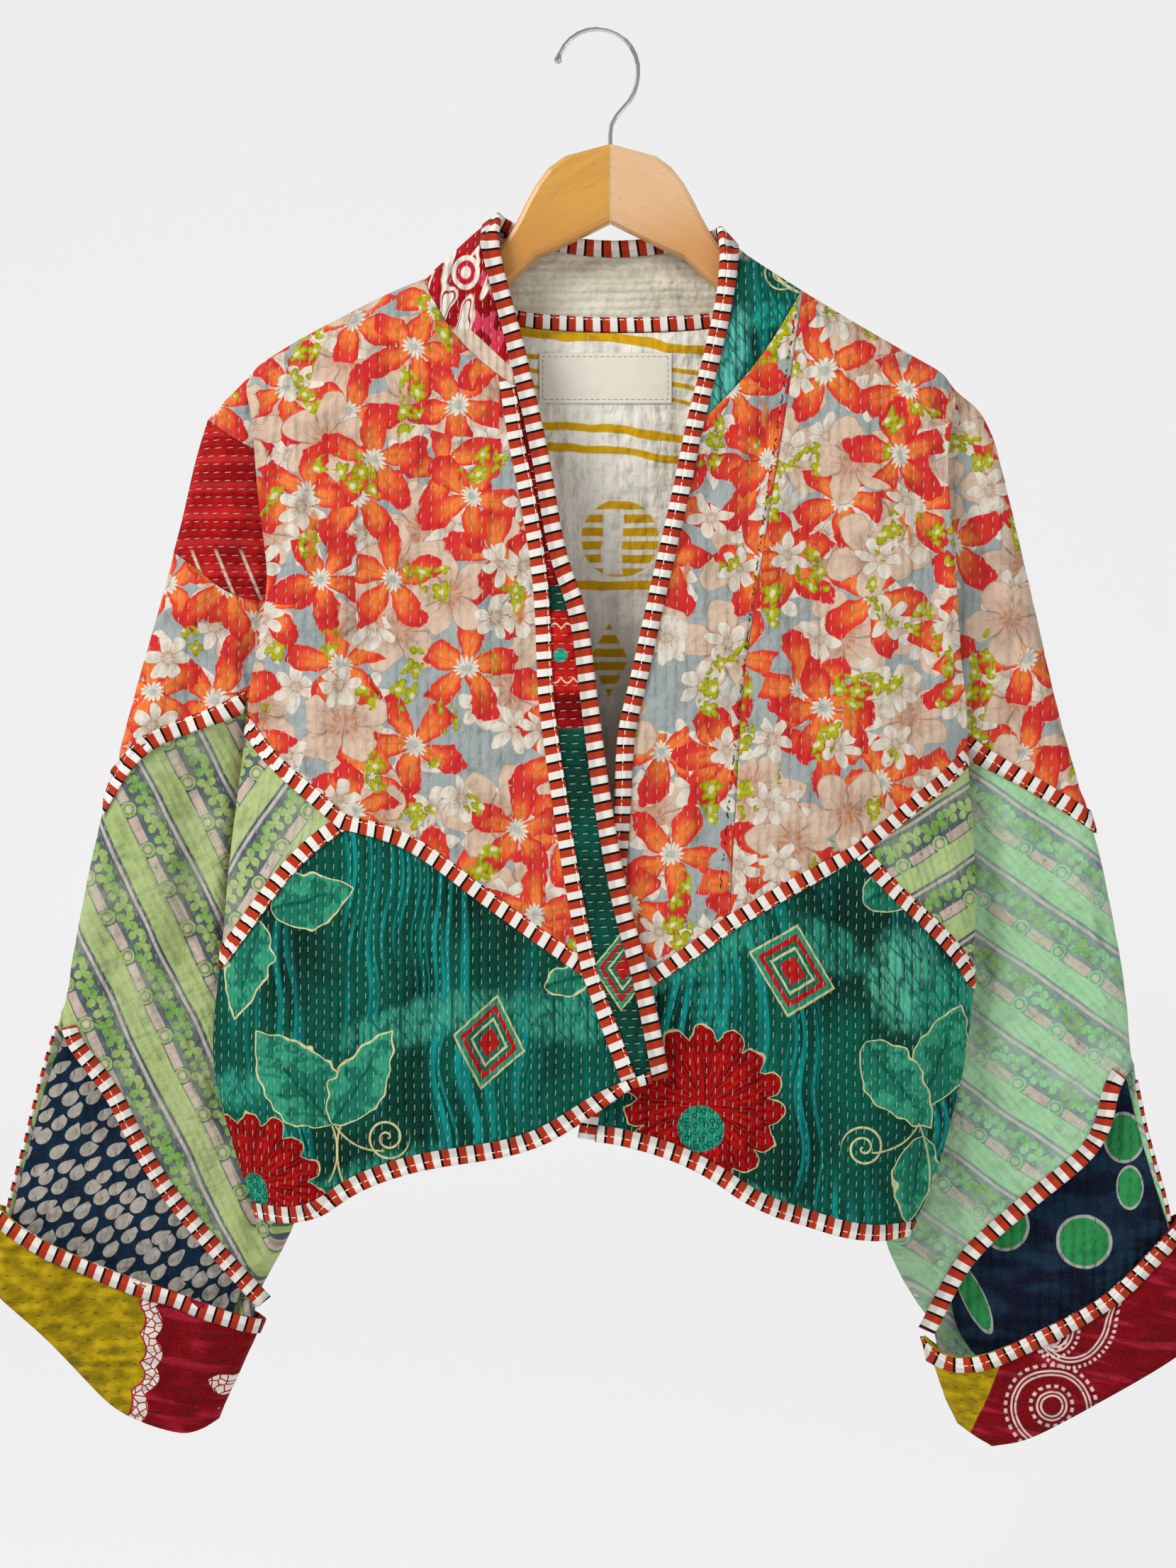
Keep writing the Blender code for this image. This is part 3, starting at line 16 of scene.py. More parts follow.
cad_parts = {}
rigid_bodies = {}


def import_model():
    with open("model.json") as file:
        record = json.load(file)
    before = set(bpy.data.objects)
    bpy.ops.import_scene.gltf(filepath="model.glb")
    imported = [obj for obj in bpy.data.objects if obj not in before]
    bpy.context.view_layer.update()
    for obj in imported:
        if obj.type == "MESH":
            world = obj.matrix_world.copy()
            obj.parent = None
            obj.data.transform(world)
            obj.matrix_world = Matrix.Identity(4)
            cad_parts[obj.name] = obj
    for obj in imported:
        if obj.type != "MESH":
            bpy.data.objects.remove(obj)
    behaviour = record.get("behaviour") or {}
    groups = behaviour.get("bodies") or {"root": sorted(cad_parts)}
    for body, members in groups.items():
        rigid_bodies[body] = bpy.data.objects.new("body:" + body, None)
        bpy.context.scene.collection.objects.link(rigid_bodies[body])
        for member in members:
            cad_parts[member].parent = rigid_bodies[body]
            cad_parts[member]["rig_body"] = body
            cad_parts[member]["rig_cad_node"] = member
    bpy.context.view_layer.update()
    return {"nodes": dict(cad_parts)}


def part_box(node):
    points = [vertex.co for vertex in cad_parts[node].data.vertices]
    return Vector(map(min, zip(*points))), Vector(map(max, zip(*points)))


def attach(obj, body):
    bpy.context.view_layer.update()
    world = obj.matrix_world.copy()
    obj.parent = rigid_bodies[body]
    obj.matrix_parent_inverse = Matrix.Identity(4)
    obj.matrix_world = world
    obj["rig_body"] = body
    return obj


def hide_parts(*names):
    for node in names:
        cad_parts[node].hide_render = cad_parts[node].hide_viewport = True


MM = 0.001
HANGER_CENTRE = 8.0  # the hanger's centre line stands this far right of the hook's crown

# Thicknesses of the solids' walls
CLOTH = 2.0
LINING = 1.0
LABEL = 0.6

BEHIND = 20.0  # how far back the prints start to run on round the sides
NEVER = 99.0  # so far back that a print doesn't run on at all
FULL_SIDE = 120.0  # the prints run on in full from this far out, and less towards the middle

BODY_FADE = (4.0, 13.0)  # creases begin this far before or behind the body's middle, and are full there
TUBE_FADE = (7.0, 19.0)  # the same for how far apart a sleeve's or cuff's two sides are
CREASE_RISE = 1.2  # every crease is this much stronger than its table says
CREASE_BOW = 0.06  # how far a crease's middle is bowed aside, as a share of its length
END_REACH = 16.0  # how much of a binding's end moves when it is drawn out
RUN_STEP = 3.0  # between the points of a binding's seam line
CORNER = -0.75  # two edges of a rim that are less straight than this cosine make a corner
FOLD = math.radians(38)  # a binding's edge is crisp where it is folded more than this
EDGE_LEVELS = 24  # heights at which a piece's outer edge is looked for
FACING_REACH = 30.0  # how much of a vent's facing moves when it is let out
FACING_OUT = 6.0  # how far its outer edge is let out
FACING_FORWARDS = 2.0  # and how far it comes forwards there
SLIT_SHARE = 0.55  # what is left of a slit binding's width
HAND_STITCHES = 66  # down the pieced seam of the right front
AT_ONCE = 4000  # points that are compared with a seam at one time

# Where each binding is sewn: across and up along its seam or edge
BINDING_RUNS = {
    "edge_binding_left": (
        (-68, -113), (-69, -136), (-63, -161), (-55, -190), (-46, -228), (-37, -271), (-28, -323),
        (-16, -357), (-9, -411), (-1, -472), (10, -533), (23, -581), (34, -638),
    ),
    "edge_binding_right": (
        (67, -121), (68, -143), (65, -168), (58, -200), (47, -243), (38, -287), (25, -343), (13, -398),
        (5, -432), (3, -476), (-2, -540), (-5, -598), (-12, -640), (-19, -675),
    ),
    "neck_binding": (
        (-68, -113), (-50, -119), (-28, -124), (0, -127), (27, -125), (48, -123), (67, -121),
    ),
    "neck_seam_binding": ((-82, -167), (-52, -175), (3, -178), (58, -176), (88, -170)),
    "band_seam_binding": (
        (-63, -218), (-56, -262), (-50, -290), (-42, -344), (-39, -411), (-31, -468), (-24, -515),
        (-13, -574), (12, -643),
    ),
    "diagonal_binding_left": (
        (-222, -425), (-205, -448), (-183, -466), (-161, -485), (-129, -493), (-104, -508), (-70, -534),
        (-13, -574),
    ),
    "diagonal_binding_right": (
        (218, -444), (204, -459), (188, -471), (150, -502), (107, -525), (71, -546), (53, -560),
        (26, -578), (-5, -598),
    ),
    "apex_binding_left": ((-161, -485), (-182, -500), (-204, -524), (-220, -546), (-238, -570)),
    "apex_binding_right": ((150, -502), (170, -526), (194, -547), (213, -568), (222, -583)),
    "hem_binding_left": (
        (-216, -727), (-181, -726), (-165, -714), (-140, -701), (-108, -691), (-70, -686), (-45, -680),
        (-15, -662), (12, -643), (34, -638),
    ),
    "hem_binding_right": (
        (-19, -675), (10, -679), (44, -690), (62, -699), (85, -715), (107, -724), (134, -733),
        (158, -738), (182, -738),
    ),
    "hem_binding_back": (
        (-216, -727), (-150, -688), (-60, -640), (0, -625), (60, -638), (130, -690), (182, -738),
    ),
    "back_seam_binding": ((-238, -570), (-120, -578), (0, -580), (110, -580), (222, -583)),
    "sleeve_seam_binding_left": (
        (-310, -472), (-297, -451), (-285, -438), (-270, -430), (-240, -419), (-213, -404),
    ),
    "sleeve_seam_binding_right": ((296, -486), (274, -471), (256, -460), (236, -446), (209, -428)),
    "vent_binding_left": (
        (-338, -603), (-333, -623), (-311, -652), (-298, -680), (-277, -717), (-245, -757), (-222, -784),
    ),
    "vent_binding_right": (
        (323, -636), (312, -648), (307, -676), (294, -695), (258, -726), (224, -759), (203, -801),
    ),
    "slit_binding_left": ((-338, -603), (-351, -644), (-363, -693), (-371, -720), (-373, -731)),
    "slit_binding_right": ((323, -636), (327, -660), (336, -697), (344, -724), (346, -736)),
    "cuff_binding_left": (
        (-377, -722), (-359, -735), (-341, -746), (-296, -766), (-269, -775), (-243, -786), (-217, -796),
    ),
    "cuff_binding_right": (
        (351, -727), (327, -753), (305, -776), (280, -791), (253, -805), (228, -817), (210, -818),
        (196, -807),
    ),
}

# Creases of each part of the jacket: across and up at one end, at the other end, width, height outwards.
# The tables of the sleeves, cuffs and vents hold both sides.
BODY_FRONT_CREASES = (
    (-213, -232, -206, -345, 6, 2.6), (-206, -330, -218, -424, 6, 2.6),
    (-186, -250, -184, -390, 11, -2.4), (204, -236, 203, -330, 6, 2.6), (206, -320, 216, -440, 6, 2.6),
    (186, -262, 192, -410, 11, -2.4), (-209, -226, -214, -405, 8, -3.2), (-196, -236, -200, -400, 9, 2.6),
    (-131, -189, -205, -255, 10, 2.4), (-150, -182, -212, -236, 8, -1.8),
    (-141, -255, -160, -415, 12, -2.4), (-94, -283, -84, -415, 12, 2.4), (-60, -300, -52, -420, 9, -1.8),
    (-176, -330, -184, -440, 10, 1.8), (-112, -430, -70, -500, 10, 2.0), (-130, -400, -150, -470, 9, 1.8),
    (-236, -520, -216, -470, 8, 2.4), (-222, -520, -196, -470, 6, -1.8), (-211, -575, -202, -697, 9, 2.6),
    (-188, -560, -182, -690, 8, -2.4), (-164, -490, -160, -650, 9, -2.6),
    (-142, -520, -136, -680, 8, 2.4), (-122, -504, -117, -669, 9, -2.0), (-98, -530, -98, -670, 9, 2.6),
    (-78, -540, -82, -674, 8, -2.2), (-52, -565, -46, -660, 9, 2.4), (-26, -590, -20, -650, 7, -1.8),
    (-84, -128, -74, -180, 5, 1.8), (-96, -140, -84, -190, 5, -1.5), (84, -135, 90, -190, 5, 1.8),
    (98, -140, 98, -185, 5, -1.5), (73, -241, 37, -328, 7, -3.2), (82, -246, 48, -332, 7, 2.8),
    (96, -200, 88, -270, 7, -1.6), (204, -245, 212, -415, 8, -3.2), (191, -240, 199, -410, 9, 2.6),
    (136, -186, 200, -244, 9, 2.2), (151, -255, 156, -415, 13, 2.4), (118, -292, 123, -434, 12, -2.4),
    (94, -300, 84, -500, 8, 1.6), (50, -400, 40, -520, 9, 2.0), (28, -430, 24, -540, 8, -1.8),
    (178, -360, 186, -440, 9, -2.0), (204, -480, 218, -540, 8, 2.2), (188, -490, 200, -540, 7, -1.8),
    (139, -514, 132, -627, 9, -3.0), (152, -520, 150, -640, 9, 2.6), (109, -575, 104, -707, 10, 2.6),
    (122, -600, 118, -720, 8, -2.2), (175, -533, 175, -688, 10, 2.6), (200, -580, 193, -697, 8, -2.4),
    (84, -560, 88, -690, 8, -2.4), (66, -575, 71, -679, 9, 2.4), (38, -590, 30, -670, 8, -2.0),
    (12, -610, 8, -670, 8, 2.0), (164, -660, 170, -730, 8, -2.0),
)
BODY_BACK_CREASES = (
    (-40, -140, 42, -143, 5, 1.8), (-30, -158, 46, -154, 5, -1.5), (-52, -168, 10, -166, 4, 1.4),
    (-120, -240, -150, -430, 22, 3.2), (-60, -220, -70, -420, 18, -2.6), (0, -240, 6, -520, 20, 2.6),
    (64, -220, 80, -430, 18, -2.6), (118, -240, 150, -440, 22, 3.2), (-190, -460, -170, -620, 16, 3.0),
    (-150, -470, -140, -640, 13, -2.4), (-110, -500, -100, -650, 15, 2.8),
    (-66, -480, -62, -640, 12, -2.2), (-30, -500, -36, -620, 14, 2.6), (14, -490, 12, -620, 12, -2.2),
    (52, -500, 50, -630, 14, 2.6), (90, -490, 88, -640, 12, -2.4), (124, -500, 128, -660, 15, 2.8),
    (178, -470, 160, -690, 16, -2.6),
)
SLEEVE_FRONT_CREASES = (
    (-230, -255, -249, -368, 10, 2.6), (-211, -292, -226, -405, 8, -3.4),
    (-262, -300, -286, -400, 9, -2.0), (-244, -360, -268, -440, 9, -2.0),
    (-274, -380, -296, -450, 9, 2.0), (-226, -443, -233, -547, 9, -4.2),
    (-233, -547, -221, -660, 9, -4.2), (-242, -460, -250, -560, 8, 2.8),
    (-266, -443, -261, -580, 10, -3.2), (-280, -460, -276, -560, 8, 2.4),
    (-293, -509, -285, -603, 9, 3.2), (-306, -520, -312, -600, 8, -2.4), (-254, -580, -226, -726, 9, 3.2),
    (-296, -627, -240, -735, 8, -2.6), (-240, -600, -216, -700, 8, -2.8),
    (-276, -600, -250, -690, 8, 2.6), (-212, -690, -210, -750, 7, 2.6), (-224, -700, -222, -764, 6, -2.4),
    (222, -236, 241, -349, 9, 2.6), (215, -292, 226, -415, 8, -3.4), (250, -300, 270, -400, 9, -2.0),
    (258, -380, 284, -470, 9, 2.2), (231, -457, 226, -603, 9, -4.2), (244, -470, 240, -560, 8, 2.6),
    (259, -467, 283, -509, 8, -2.6), (281, -512, 297, -582, 8, 3.6), (297, -582, 302, -625, 8, 3.6),
    (268, -500, 284, -590, 8, -2.8), (306, -500, 318, -590, 8, -2.2), (241, -556, 269, -617, 7, -3.2),
    (226, -594, 264, -660, 7, 3.2), (217, -636, 260, -697, 7, -3.2), (208, -674, 241, -726, 7, 2.8),
    (203, -712, 222, -754, 6, -2.4), (252, -570, 286, -640, 7, 2.8), (206, -600, 214, -680, 8, 2.6),
)
SLEEVE_BACK_CREASES = (
    (-230, -290, -250, -410, 10, 2.4), (-240, -470, -276, -660, 12, 3.2),
    (-262, -480, -306, -650, 12, -2.8), (-222, -500, -240, -640, 11, -2.6),
    (-214, -540, -226, -740, 10, 2.8), (-290, -620, -330, -730, 10, 2.4), (228, -300, 246, -420, 10, 2.4),
    (232, -490, 262, -680, 12, 3.2), (252, -490, 290, -670, 12, -2.8), (214, -500, 226, -660, 11, -2.6),
    (200, -560, 206, -760, 10, 2.8), (282, -640, 312, -740, 10, 2.4),
)
CUFF_CREASES = (
    (-352, -745, -338, -800, 9, 2.2), (-339, -754, -310, -801, 8, -2.4),
    (-296, -763, -278, -829, 10, 2.6), (-276, -775, -270, -835, 8, -2.2),
    (-259, -773, -254, -839, 9, 2.4), (-240, -800, -246, -850, 8, -2.2), (330, -770, 322, -820, 9, 2.4),
    (304, -785, 290, -840, 10, -2.4), (274, -800, 262, -850, 8, 2.4), (252, -815, 246, -860, 8, -2.0),
    (230, -820, 226, -850, 7, 2.2),
)
VENT_CREASES = (
    (-292, -683, -291, -752, 5, 1.8), (-280, -690, -279, -756, 5, 1.8), (-340, -680, -330, -730, 8, 1.2),
    (298, -690, 306, -745, 6, 1.8), (270, -730, 268, -780, 7, 1.4),
)

# How far a binding's end is drawn past its solid, to run in under the cuff, in millimetres
DRAWN_OUT = {
    "vent_binding_left": 13, "vent_binding_right": 12, "slit_binding_left": 6, "slit_binding_right": 6,
}

# Places where the cloth is drawn together: across and up, how far about, and the way it moves
NUDGES = {
    "sleeve_right": (
        (224, -452, 22, -5.0, 0.0), (226, -476, 20, -3.0, 0.0), (207, -217, 9, 1.0, 2.2),
    ),
    "sleeve_left": ((-227, -426, 16, 3.0, 0.0), (-219, -214, 9, -1.0, 2.2)),
    "body": ((-229, -213, 10, 4.5, -3.0), (217, -217, 10, -5.0, -3.0)),
}

# Cloth pieces: node, finish, the group whose creases it shares, and how many times its faces are halved
CLOTHS = {
    "front_upper_left": ("floral", "body", 3),
    "front_upper_right": ("floral", "body", 3),
    "front_inner_right": ("floral_inner", "body", 3),
    "front_side_left": ("wedge_left", "body", 2),
    "front_side_right": ("wedge_right", "body", 2),
    "front_lower_left": ("teal_left", "body", 3),
    "front_lower_right": ("teal_right", "body", 3),
    "front_band_left": ("band_print", "body", 2),
    "collar_left": ("red_print", "body", 3),
    "collar_right": ("collar_teal", "body", 3),
    "back_upper": ("floral", "body", 2),
    "back_lower": ("teal_plain", "body", 2),
    "neck_band": ("neck_cotton", "body", 3),
    "sleeve_upper_left": ("floral_sleeve_left", "sleeve_left", 3),
    "sleeve_upper_right": ("floral_sleeve_right", "sleeve_right", 3),
    "sleeve_patch_left": ("red_patch", "sleeve_left", 3),
    "sleeve_lower_left": ("striped_left", "sleeve_left", 3),
    "sleeve_lower_right": ("striped_right", "sleeve_right", 3),
    "cuff_left": ("cuff_print_left", "cuff_left", 2),
    "cuff_right": ("cuff_print_right", "cuff_right", 2),
    "back_lining": ("cream_print", "inside", 2),
    "label": ("label_cotton", "inside", 3),
    "sleeve_lining_left": ("drops", "vent", 3),
    "sleeve_lining_right": ("discs", "vent", 3),
}
WALLS = {"back_lining": LINING, "sleeve_lining_left": LINING, "sleeve_lining_right": LINING, "label": LABEL}

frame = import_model()


def operator(operation):
    """An operator that adds one Math node to the shader."""
    return lambda value, *others: value.finish.maths(operation, value, *others)


class Value:
    """A number in a shader: sums with it add Math nodes."""

    def __init__(self, finish, socket):
        self.finish = finish
        self.socket = socket

    __add__ = __radd__ = operator("ADD")
    __sub__ = operator("SUBTRACT")
    __mul__ = __rmul__ = operator("MULTIPLY")
    __truediv__ = operator("DIVIDE")
    __pow__ = operator("POWER")
    __mod__ = operator("FLOORED_MODULO")
    __abs__ = operator("ABSOLUTE")

    def __rsub__(self, other):
        return self.finish.maths("SUBTRACT", other, self)

    def __neg__(self):
        return self * -1.0


class Finish:
    """A material whose colour, roughness and relief are worked out over the surface."""

    def __init__(self, name, roughness=0.92, sheen=0.04, behind=BEHIND, **constants):
        self.material = bpy.data.materials.new(name)
        self.material.use_nodes = True
        self.nodes = self.material.node_tree.nodes
        self.links = self.material.node_tree.links
        self.shader = self.nodes["Principled BSDF"]
        self.shader.inputs["Roughness"].default_value = roughness
        self.shader.inputs["Sheen Weight"].default_value = sheen
        self.shader.inputs["Specular IOR Level"].default_value = 0.07
        for socket, value in constants.items():
            self.shader.inputs[socket.replace("_", " ")].default_value = value
        place = self.node("ShaderNodeTexCoord")
        split = self.node("ShaderNodeSeparateXYZ", Vector=Value(self, place.outputs["Object"]))
        self.x, self.y, self.z = (Value(self, split.outputs[k]) * (1 / MM) for k in range(3))
        self.x = self.x - HANGER_CENTRE
        side = self.maths("MINIMUM", self.maths("MAXIMUM", self.x / FULL_SIDE, -1.0), 1.0)
        self.x = self.x + self.maths("MAXIMUM", self.y - behind, 0.0) * side

    def node(self, kind, settings=None, *values, **sockets):
        made = self.nodes.new(kind)
        for name, value in (settings or {}).items():
            setattr(made, name, value)
        named = {key.replace("_", " "): value for key, value in sockets.items()}
        return self.filled(made, {**dict(enumerate(values)), **named})

    def filled(self, made, inputs):
        """A node with its inputs linked or set."""
        for key, value in inputs.items():
            if isinstance(value, Value):
                self.links.new(value.socket, made.inputs[key])
            else:
                made.inputs[key].default_value = value
        return made

    def maths(self, operation, *values):
        return Value(self, self.node("ShaderNodeMath", {"operation": operation}, *values).outputs[0])

    def smooth(self, value, start, end):
        """0 up to start, 1 from end on, and a soft step between."""
        settings = {"interpolation_type": "SMOOTHSTEP"}
        made = self.node("ShaderNodeMapRange", settings, value, start, end, 0.0, 1.0)
        return Value(self, made.outputs[0])

    def near(self, value, half, soft):
        """1 where the value is within half of nothing."""
        return 1 - self.smooth(abs(value), half - soft, half + soft)

    def colour(self, tone):
        return (*[pow(int(tone[k : k + 2], 16) / 255, 2.2) for k in (1, 3, 5)], 1.0)

    def mix(self, share, low, high):
        """One colour laid over another by its share."""
        low, high = (self.colour(c) if isinstance(c, str) else c for c in (low, high))
        made = self.nodes.new("ShaderNodeMix")
        made.data_type = "RGBA"
        return Value(self, self.filled(made, {0: share, 6: low, 7: high}).outputs[2])

    def point(self, x, z, y=0.0):
        return Value(self, self.node("ShaderNodeCombineXYZ", None, x, z, y).outputs[0])

    def noise(self, x, z, size, detail=2.0, rough=0.5, seed=0.0):
        made = self.node(
            "ShaderNodeTexNoise", {"noise_dimensions": "3D"},
            Vector=self.point(x, z, seed), Scale=1 / size, Detail=detail, Roughness=rough,
        )
        return Value(self, made.outputs[0])

    def cells(self, x, z, size, jitter):
        """Cells about scattered centres: the way across and up from one, and three random numbers."""
        made = self.node(
            "ShaderNodeTexVoronoi", {"voronoi_dimensions": "2D"},
            Vector=self.point(x, z), Scale=1 / size, Randomness=jitter,
        )
        centre = self.node("ShaderNodeSeparateXYZ", Vector=Value(self, made.outputs["Position"]))
        chance = self.node("ShaderNodeSeparateColor", Color=Value(self, made.outputs["Color"]))
        across = x - Value(self, centre.outputs[0])
        up = z - Value(self, centre.outputs[1])
        return across, up, [Value(self, chance.outputs[k]) for k in range(3)]

    def cracks(self, x, z, size):
        """The way to the nearest side of scattered cells."""
        settings = {"voronoi_dimensions": "2D", "feature": "DISTANCE_TO_EDGE"}
        made = self.node("ShaderNodeTexVoronoi", settings, Vector=self.point(x, z), Scale=1 / size)
        return Value(self, made.outputs["Distance"]) * size

    def turned(self, x, z, degrees):
        turn = math.radians(degrees)
        return x * math.cos(turn) + z * math.sin(turn), z * math.cos(turn) - x * math.sin(turn)

    def away(self, across, up):
        return (across * across + up * up) ** 0.5

    def flower(self, across, up, reach, count, turn, notch, power):
        """How far inside a flower a place is, its way out, and its way from the petal's middle."""
        angle = self.maths("ARCTAN2", up, across) + turn
        petal = abs((angle * (count / (2 * math.pi))) % 1.0 - 0.5) * 2
        share = self.away(across, up) / reach
        return 1 - petal**power * (1 - notch) - share, share, petal

    def stitches(self, u, v, rows=5.0, length=3.2, gap=3.6, seed=0.0):
        """Running stitches in rows along v: 1 on the thread, and the way from the row as a share."""
        u = u + (self.noise(u, v, 60.0, 1.0, seed=seed) - 0.5) * 3.2
        row = self.maths("FLOOR", u / rows)
        chance = self.maths("FRACT", self.maths("SINE", row * 12.9898 + seed) * 43758.5453)
        at = u - (row + 0.5) * rows
        shifted = v + chance * 9.0 + self.noise(row * 7.0, v, 30.0, 0.0, seed=seed) * 6.0
        middle = shifted % (length + gap) - length / 2
        on = self.near(at - middle * 0.1, 0.2, 0.1) * self.near(middle, length / 2, 0.35)
        return on, abs(at) / (rows / 2)

    def finish(self, colour, relief=None, depth=0.4, strength=0.8):
        self.links.new(colour.socket, self.shader.inputs["Base Color"])
        if relief is not None:
            made = self.node("ShaderNodeBump", None, Strength=strength, Distance=depth * MM, Height=relief)
            self.links.new(made.outputs[0], self.shader.inputs["Normal"])
        return self.material


def weave(f, x, z, size=0.55):
    """Plain woven cotton's relief, 0 to 1."""
    over = f.maths("SINE", x * (math.pi / size)) * f.maths("SINE", z * (math.pi / size))
    return over * 0.5 + 0.5


def quilted(f, colour, u, v, thread="#E6DFD0", seed=0.0, bright=0.7, lines=0.14, puffed=0.5, **rows):
    """Kantha quilting over a print: its threads, the puff between rows and the puckers about them, with
    painted shade darkening the lines between rows and the hollows.
    """
    on, out = f.stitches(u, v, seed=seed, **rows)
    puff = f.smooth(out, 0.0, 0.85)
    pucker = f.noise(u * 0.8, v * 0.5, 5.0, 2.0, 0.55, seed=seed + 3)
    rumple = f.noise(u, v * 0.6, 21.0, 2.0, 0.5, seed=seed + 5)
    drag = f.noise(u * 0.35, v, 10.0, 2.0, 0.5, seed=seed + 7)
    hollow_shade = f.smooth(pucker + rumple, 1.0, 0.7)
    # Painted shade: the colour is darkened towards a darker copy of itself along the sunken lines between
    # rows (by lines) and in the hollows of the puckers and rumples.
    lit = f.mix((1 - puff) * lines + hollow_shade * 0.34, colour, f.mix(0.62, colour, "#120E0C"))
    lit = f.mix(f.smooth(f.noise(u, v, 0.9, 1.0), 0.48, 0.75) * 0.02, lit, "#F2ECE0")
    sewn = f.mix(on * bright, lit, thread)
    relief = puff * puffed + on * 0.3 + pucker * 1.7 + rumple * 4.8 + drag * 2.2 + weave(f, u, v) * 0.06
    return f.finish(sewn, relief, depth=1.4, strength=1.0)


def coral_flowers(f, colour, x, z, size, reach, kept):
    """Pointed petals, orange within and crimson along their sides, about a feathery cream heart."""
    across, up, chance = f.cells(x, z, size, 0.8)
    turn = chance[0] * 6.3
    room, share, petal = f.flower(across, up, reach, 5, turn, 0.1, 1.75)
    there = f.smooth(chance[1], 1 - kept, 1.02 - kept)
    streak = f.noise(across, up, 7.0, 2.0) - 0.5
    tone = f.mix(f.smooth(room + streak * 0.7, 0.56, 0.12), "#E6793A", "#D93F2C")
    tone = f.mix(f.smooth(share + streak * 0.9 + chance[2] * 0.4, 0.62, 1.0) * 0.85, tone, "#C62A2E")
    tone = f.mix(f.near(petal, 0.04, 0.05) * f.smooth(share, 0.8, 0.5) * 0.4, tone, "#C43E20")
    colour = f.mix(f.smooth(room + streak * 0.3, 0.0, 0.03) * there, colour, tone)
    heart, share, petal = f.flower(across, up, 7.6, 13, turn, 0.62, 1.3)
    tone = f.mix(f.smooth(petal, 0.6, 0.95) * 0.6, "#DAD3C4", "#8C8E86")
    tone = f.mix(f.smooth(share, 0.4, 0.25) * 0.6, tone, "#9A9D95")
    return f.mix(f.smooth(heart, 0.0, 0.06) * there, colour, tone)


def blossoms(f, colour, x, z, size, reach, kept, tones, count=5, notch=0.5, power=2.0, jitter=0.8):
    """Pale flowers drawn with a thin brown line, with fine veins and rust stamens."""
    across, up, chance = f.cells(x, z, size, jitter)
    room, share, petal = f.flower(across, up, reach, count, chance[0] * 6.3, notch, power)
    pale, deep, line, stamen = tones
    tone = f.mix(f.smooth(share + (f.noise(across, up, 6.0, 2.0) - 0.5) * 0.5, 0.7, 0.1), pale, deep)
    tone = f.mix(f.smooth(petal, 0.86, 0.97) * 0.75, tone, line)
    tone = f.mix(f.near(petal - 0.3, 0.03, 0.03) * f.near(share - 0.38, 0.16, 0.06) * 0.5, tone, line)
    tone = f.mix(f.smooth(room, 0.045, 0.02) * 0.6, tone, line)
    dots = f.near(share - 0.2, 0.06, 0.04) * f.near(petal - 0.5, 0.22, 0.12)
    tone = f.mix(dots * 0.8, tone, stamen)
    return f.mix(f.smooth(room, 0.0, 0.02) * f.smooth(chance[1], 1 - kept, 1.02 - kept), colour, tone)


# Blossoms: their pale, deep, line and stamen tones; the cream ones also have a form of their own
BEIGE = ("#D2B69E", "#BE9883", "#8C6E5A", "#BC743C")
CREAM = (("#DCD2C2", "#C8B9A6", "#7C7266", "#AC6636"), 6, 0.35, 1.9, 0.9)


def floral_print(f, x, z):
    """Coral flowers, beige blossoms, small daisies and green sprigs on a pale grey-blue ground."""
    x = x + (f.noise(x, z, 22.0, 2.0) - 0.5) * 13
    z = z + (f.noise(x, z, 22.0, 2.0, seed=9.0) - 0.5) * 13
    colour = f.mix(f.noise(x, z, 14.0, 3.0), "#87938F", "#A9B0B0")
    for draw, across, up, *sizes in (
        (blossoms, 17, 500, 56.0, 30.0, 0.8, BEIGE),
        (blossoms, 210, 333, 31.0, 15.5, 0.72, *CREAM),
        (coral_flowers, 910, 140, 56.0, 36.0, 0.84),
        (blossoms, 333, 61, 78.0, 28.0, 0.62, BEIGE),
        (coral_flowers, 421, 777, 66.0, 35.0, 0.6),
        (blossoms, 130, 750, 36.0, 14.5, 0.34, *CREAM),
    ):
        colour = draw(f, colour, x + across, z + up, *sizes)
    across, up, chance = f.cells(x + 300, z, 12.0, 0.6)
    room, share, _ = f.flower(across, up, 6.4, 5, chance[0] * 6.3, 0.55, 2.0)
    chain = f.smooth(f.noise(x * 1.2, z * 0.8, 26.0, 0.0, seed=21.0), 0.645, 0.66)
    tone = f.mix(f.smooth(room, 0.35, 0.05), "#ABA81E", "#858612")
    tone = f.mix(f.smooth(share, 0.3, 0.2) * 0.85, tone, "#DAD4B4")
    colour = f.mix(f.smooth(room, 0.0, 0.05) * chain, colour, tone)
    worn = f.smooth(f.noise(x, z * 0.35, 17.0, 2.0, seed=31.0), 0.69, 0.72)
    frayed = f.mix(f.noise(x, z, 4.0, 2.0), "#CF6A2C", "#DE8140")
    return f.mix(worn * 0.75, colour, frayed)


def make_floral(name, across=0.0, up=0.0):
    """The same print on every piece, cut from another part of the cloth for each."""
    f = Finish(name)
    tone = floral_print(f, f.x + across, f.z + up)
    return quilted(f, tone, f.x, f.z, rows=6.2, bright=0.75, lines=0.05, puffed=0.3)


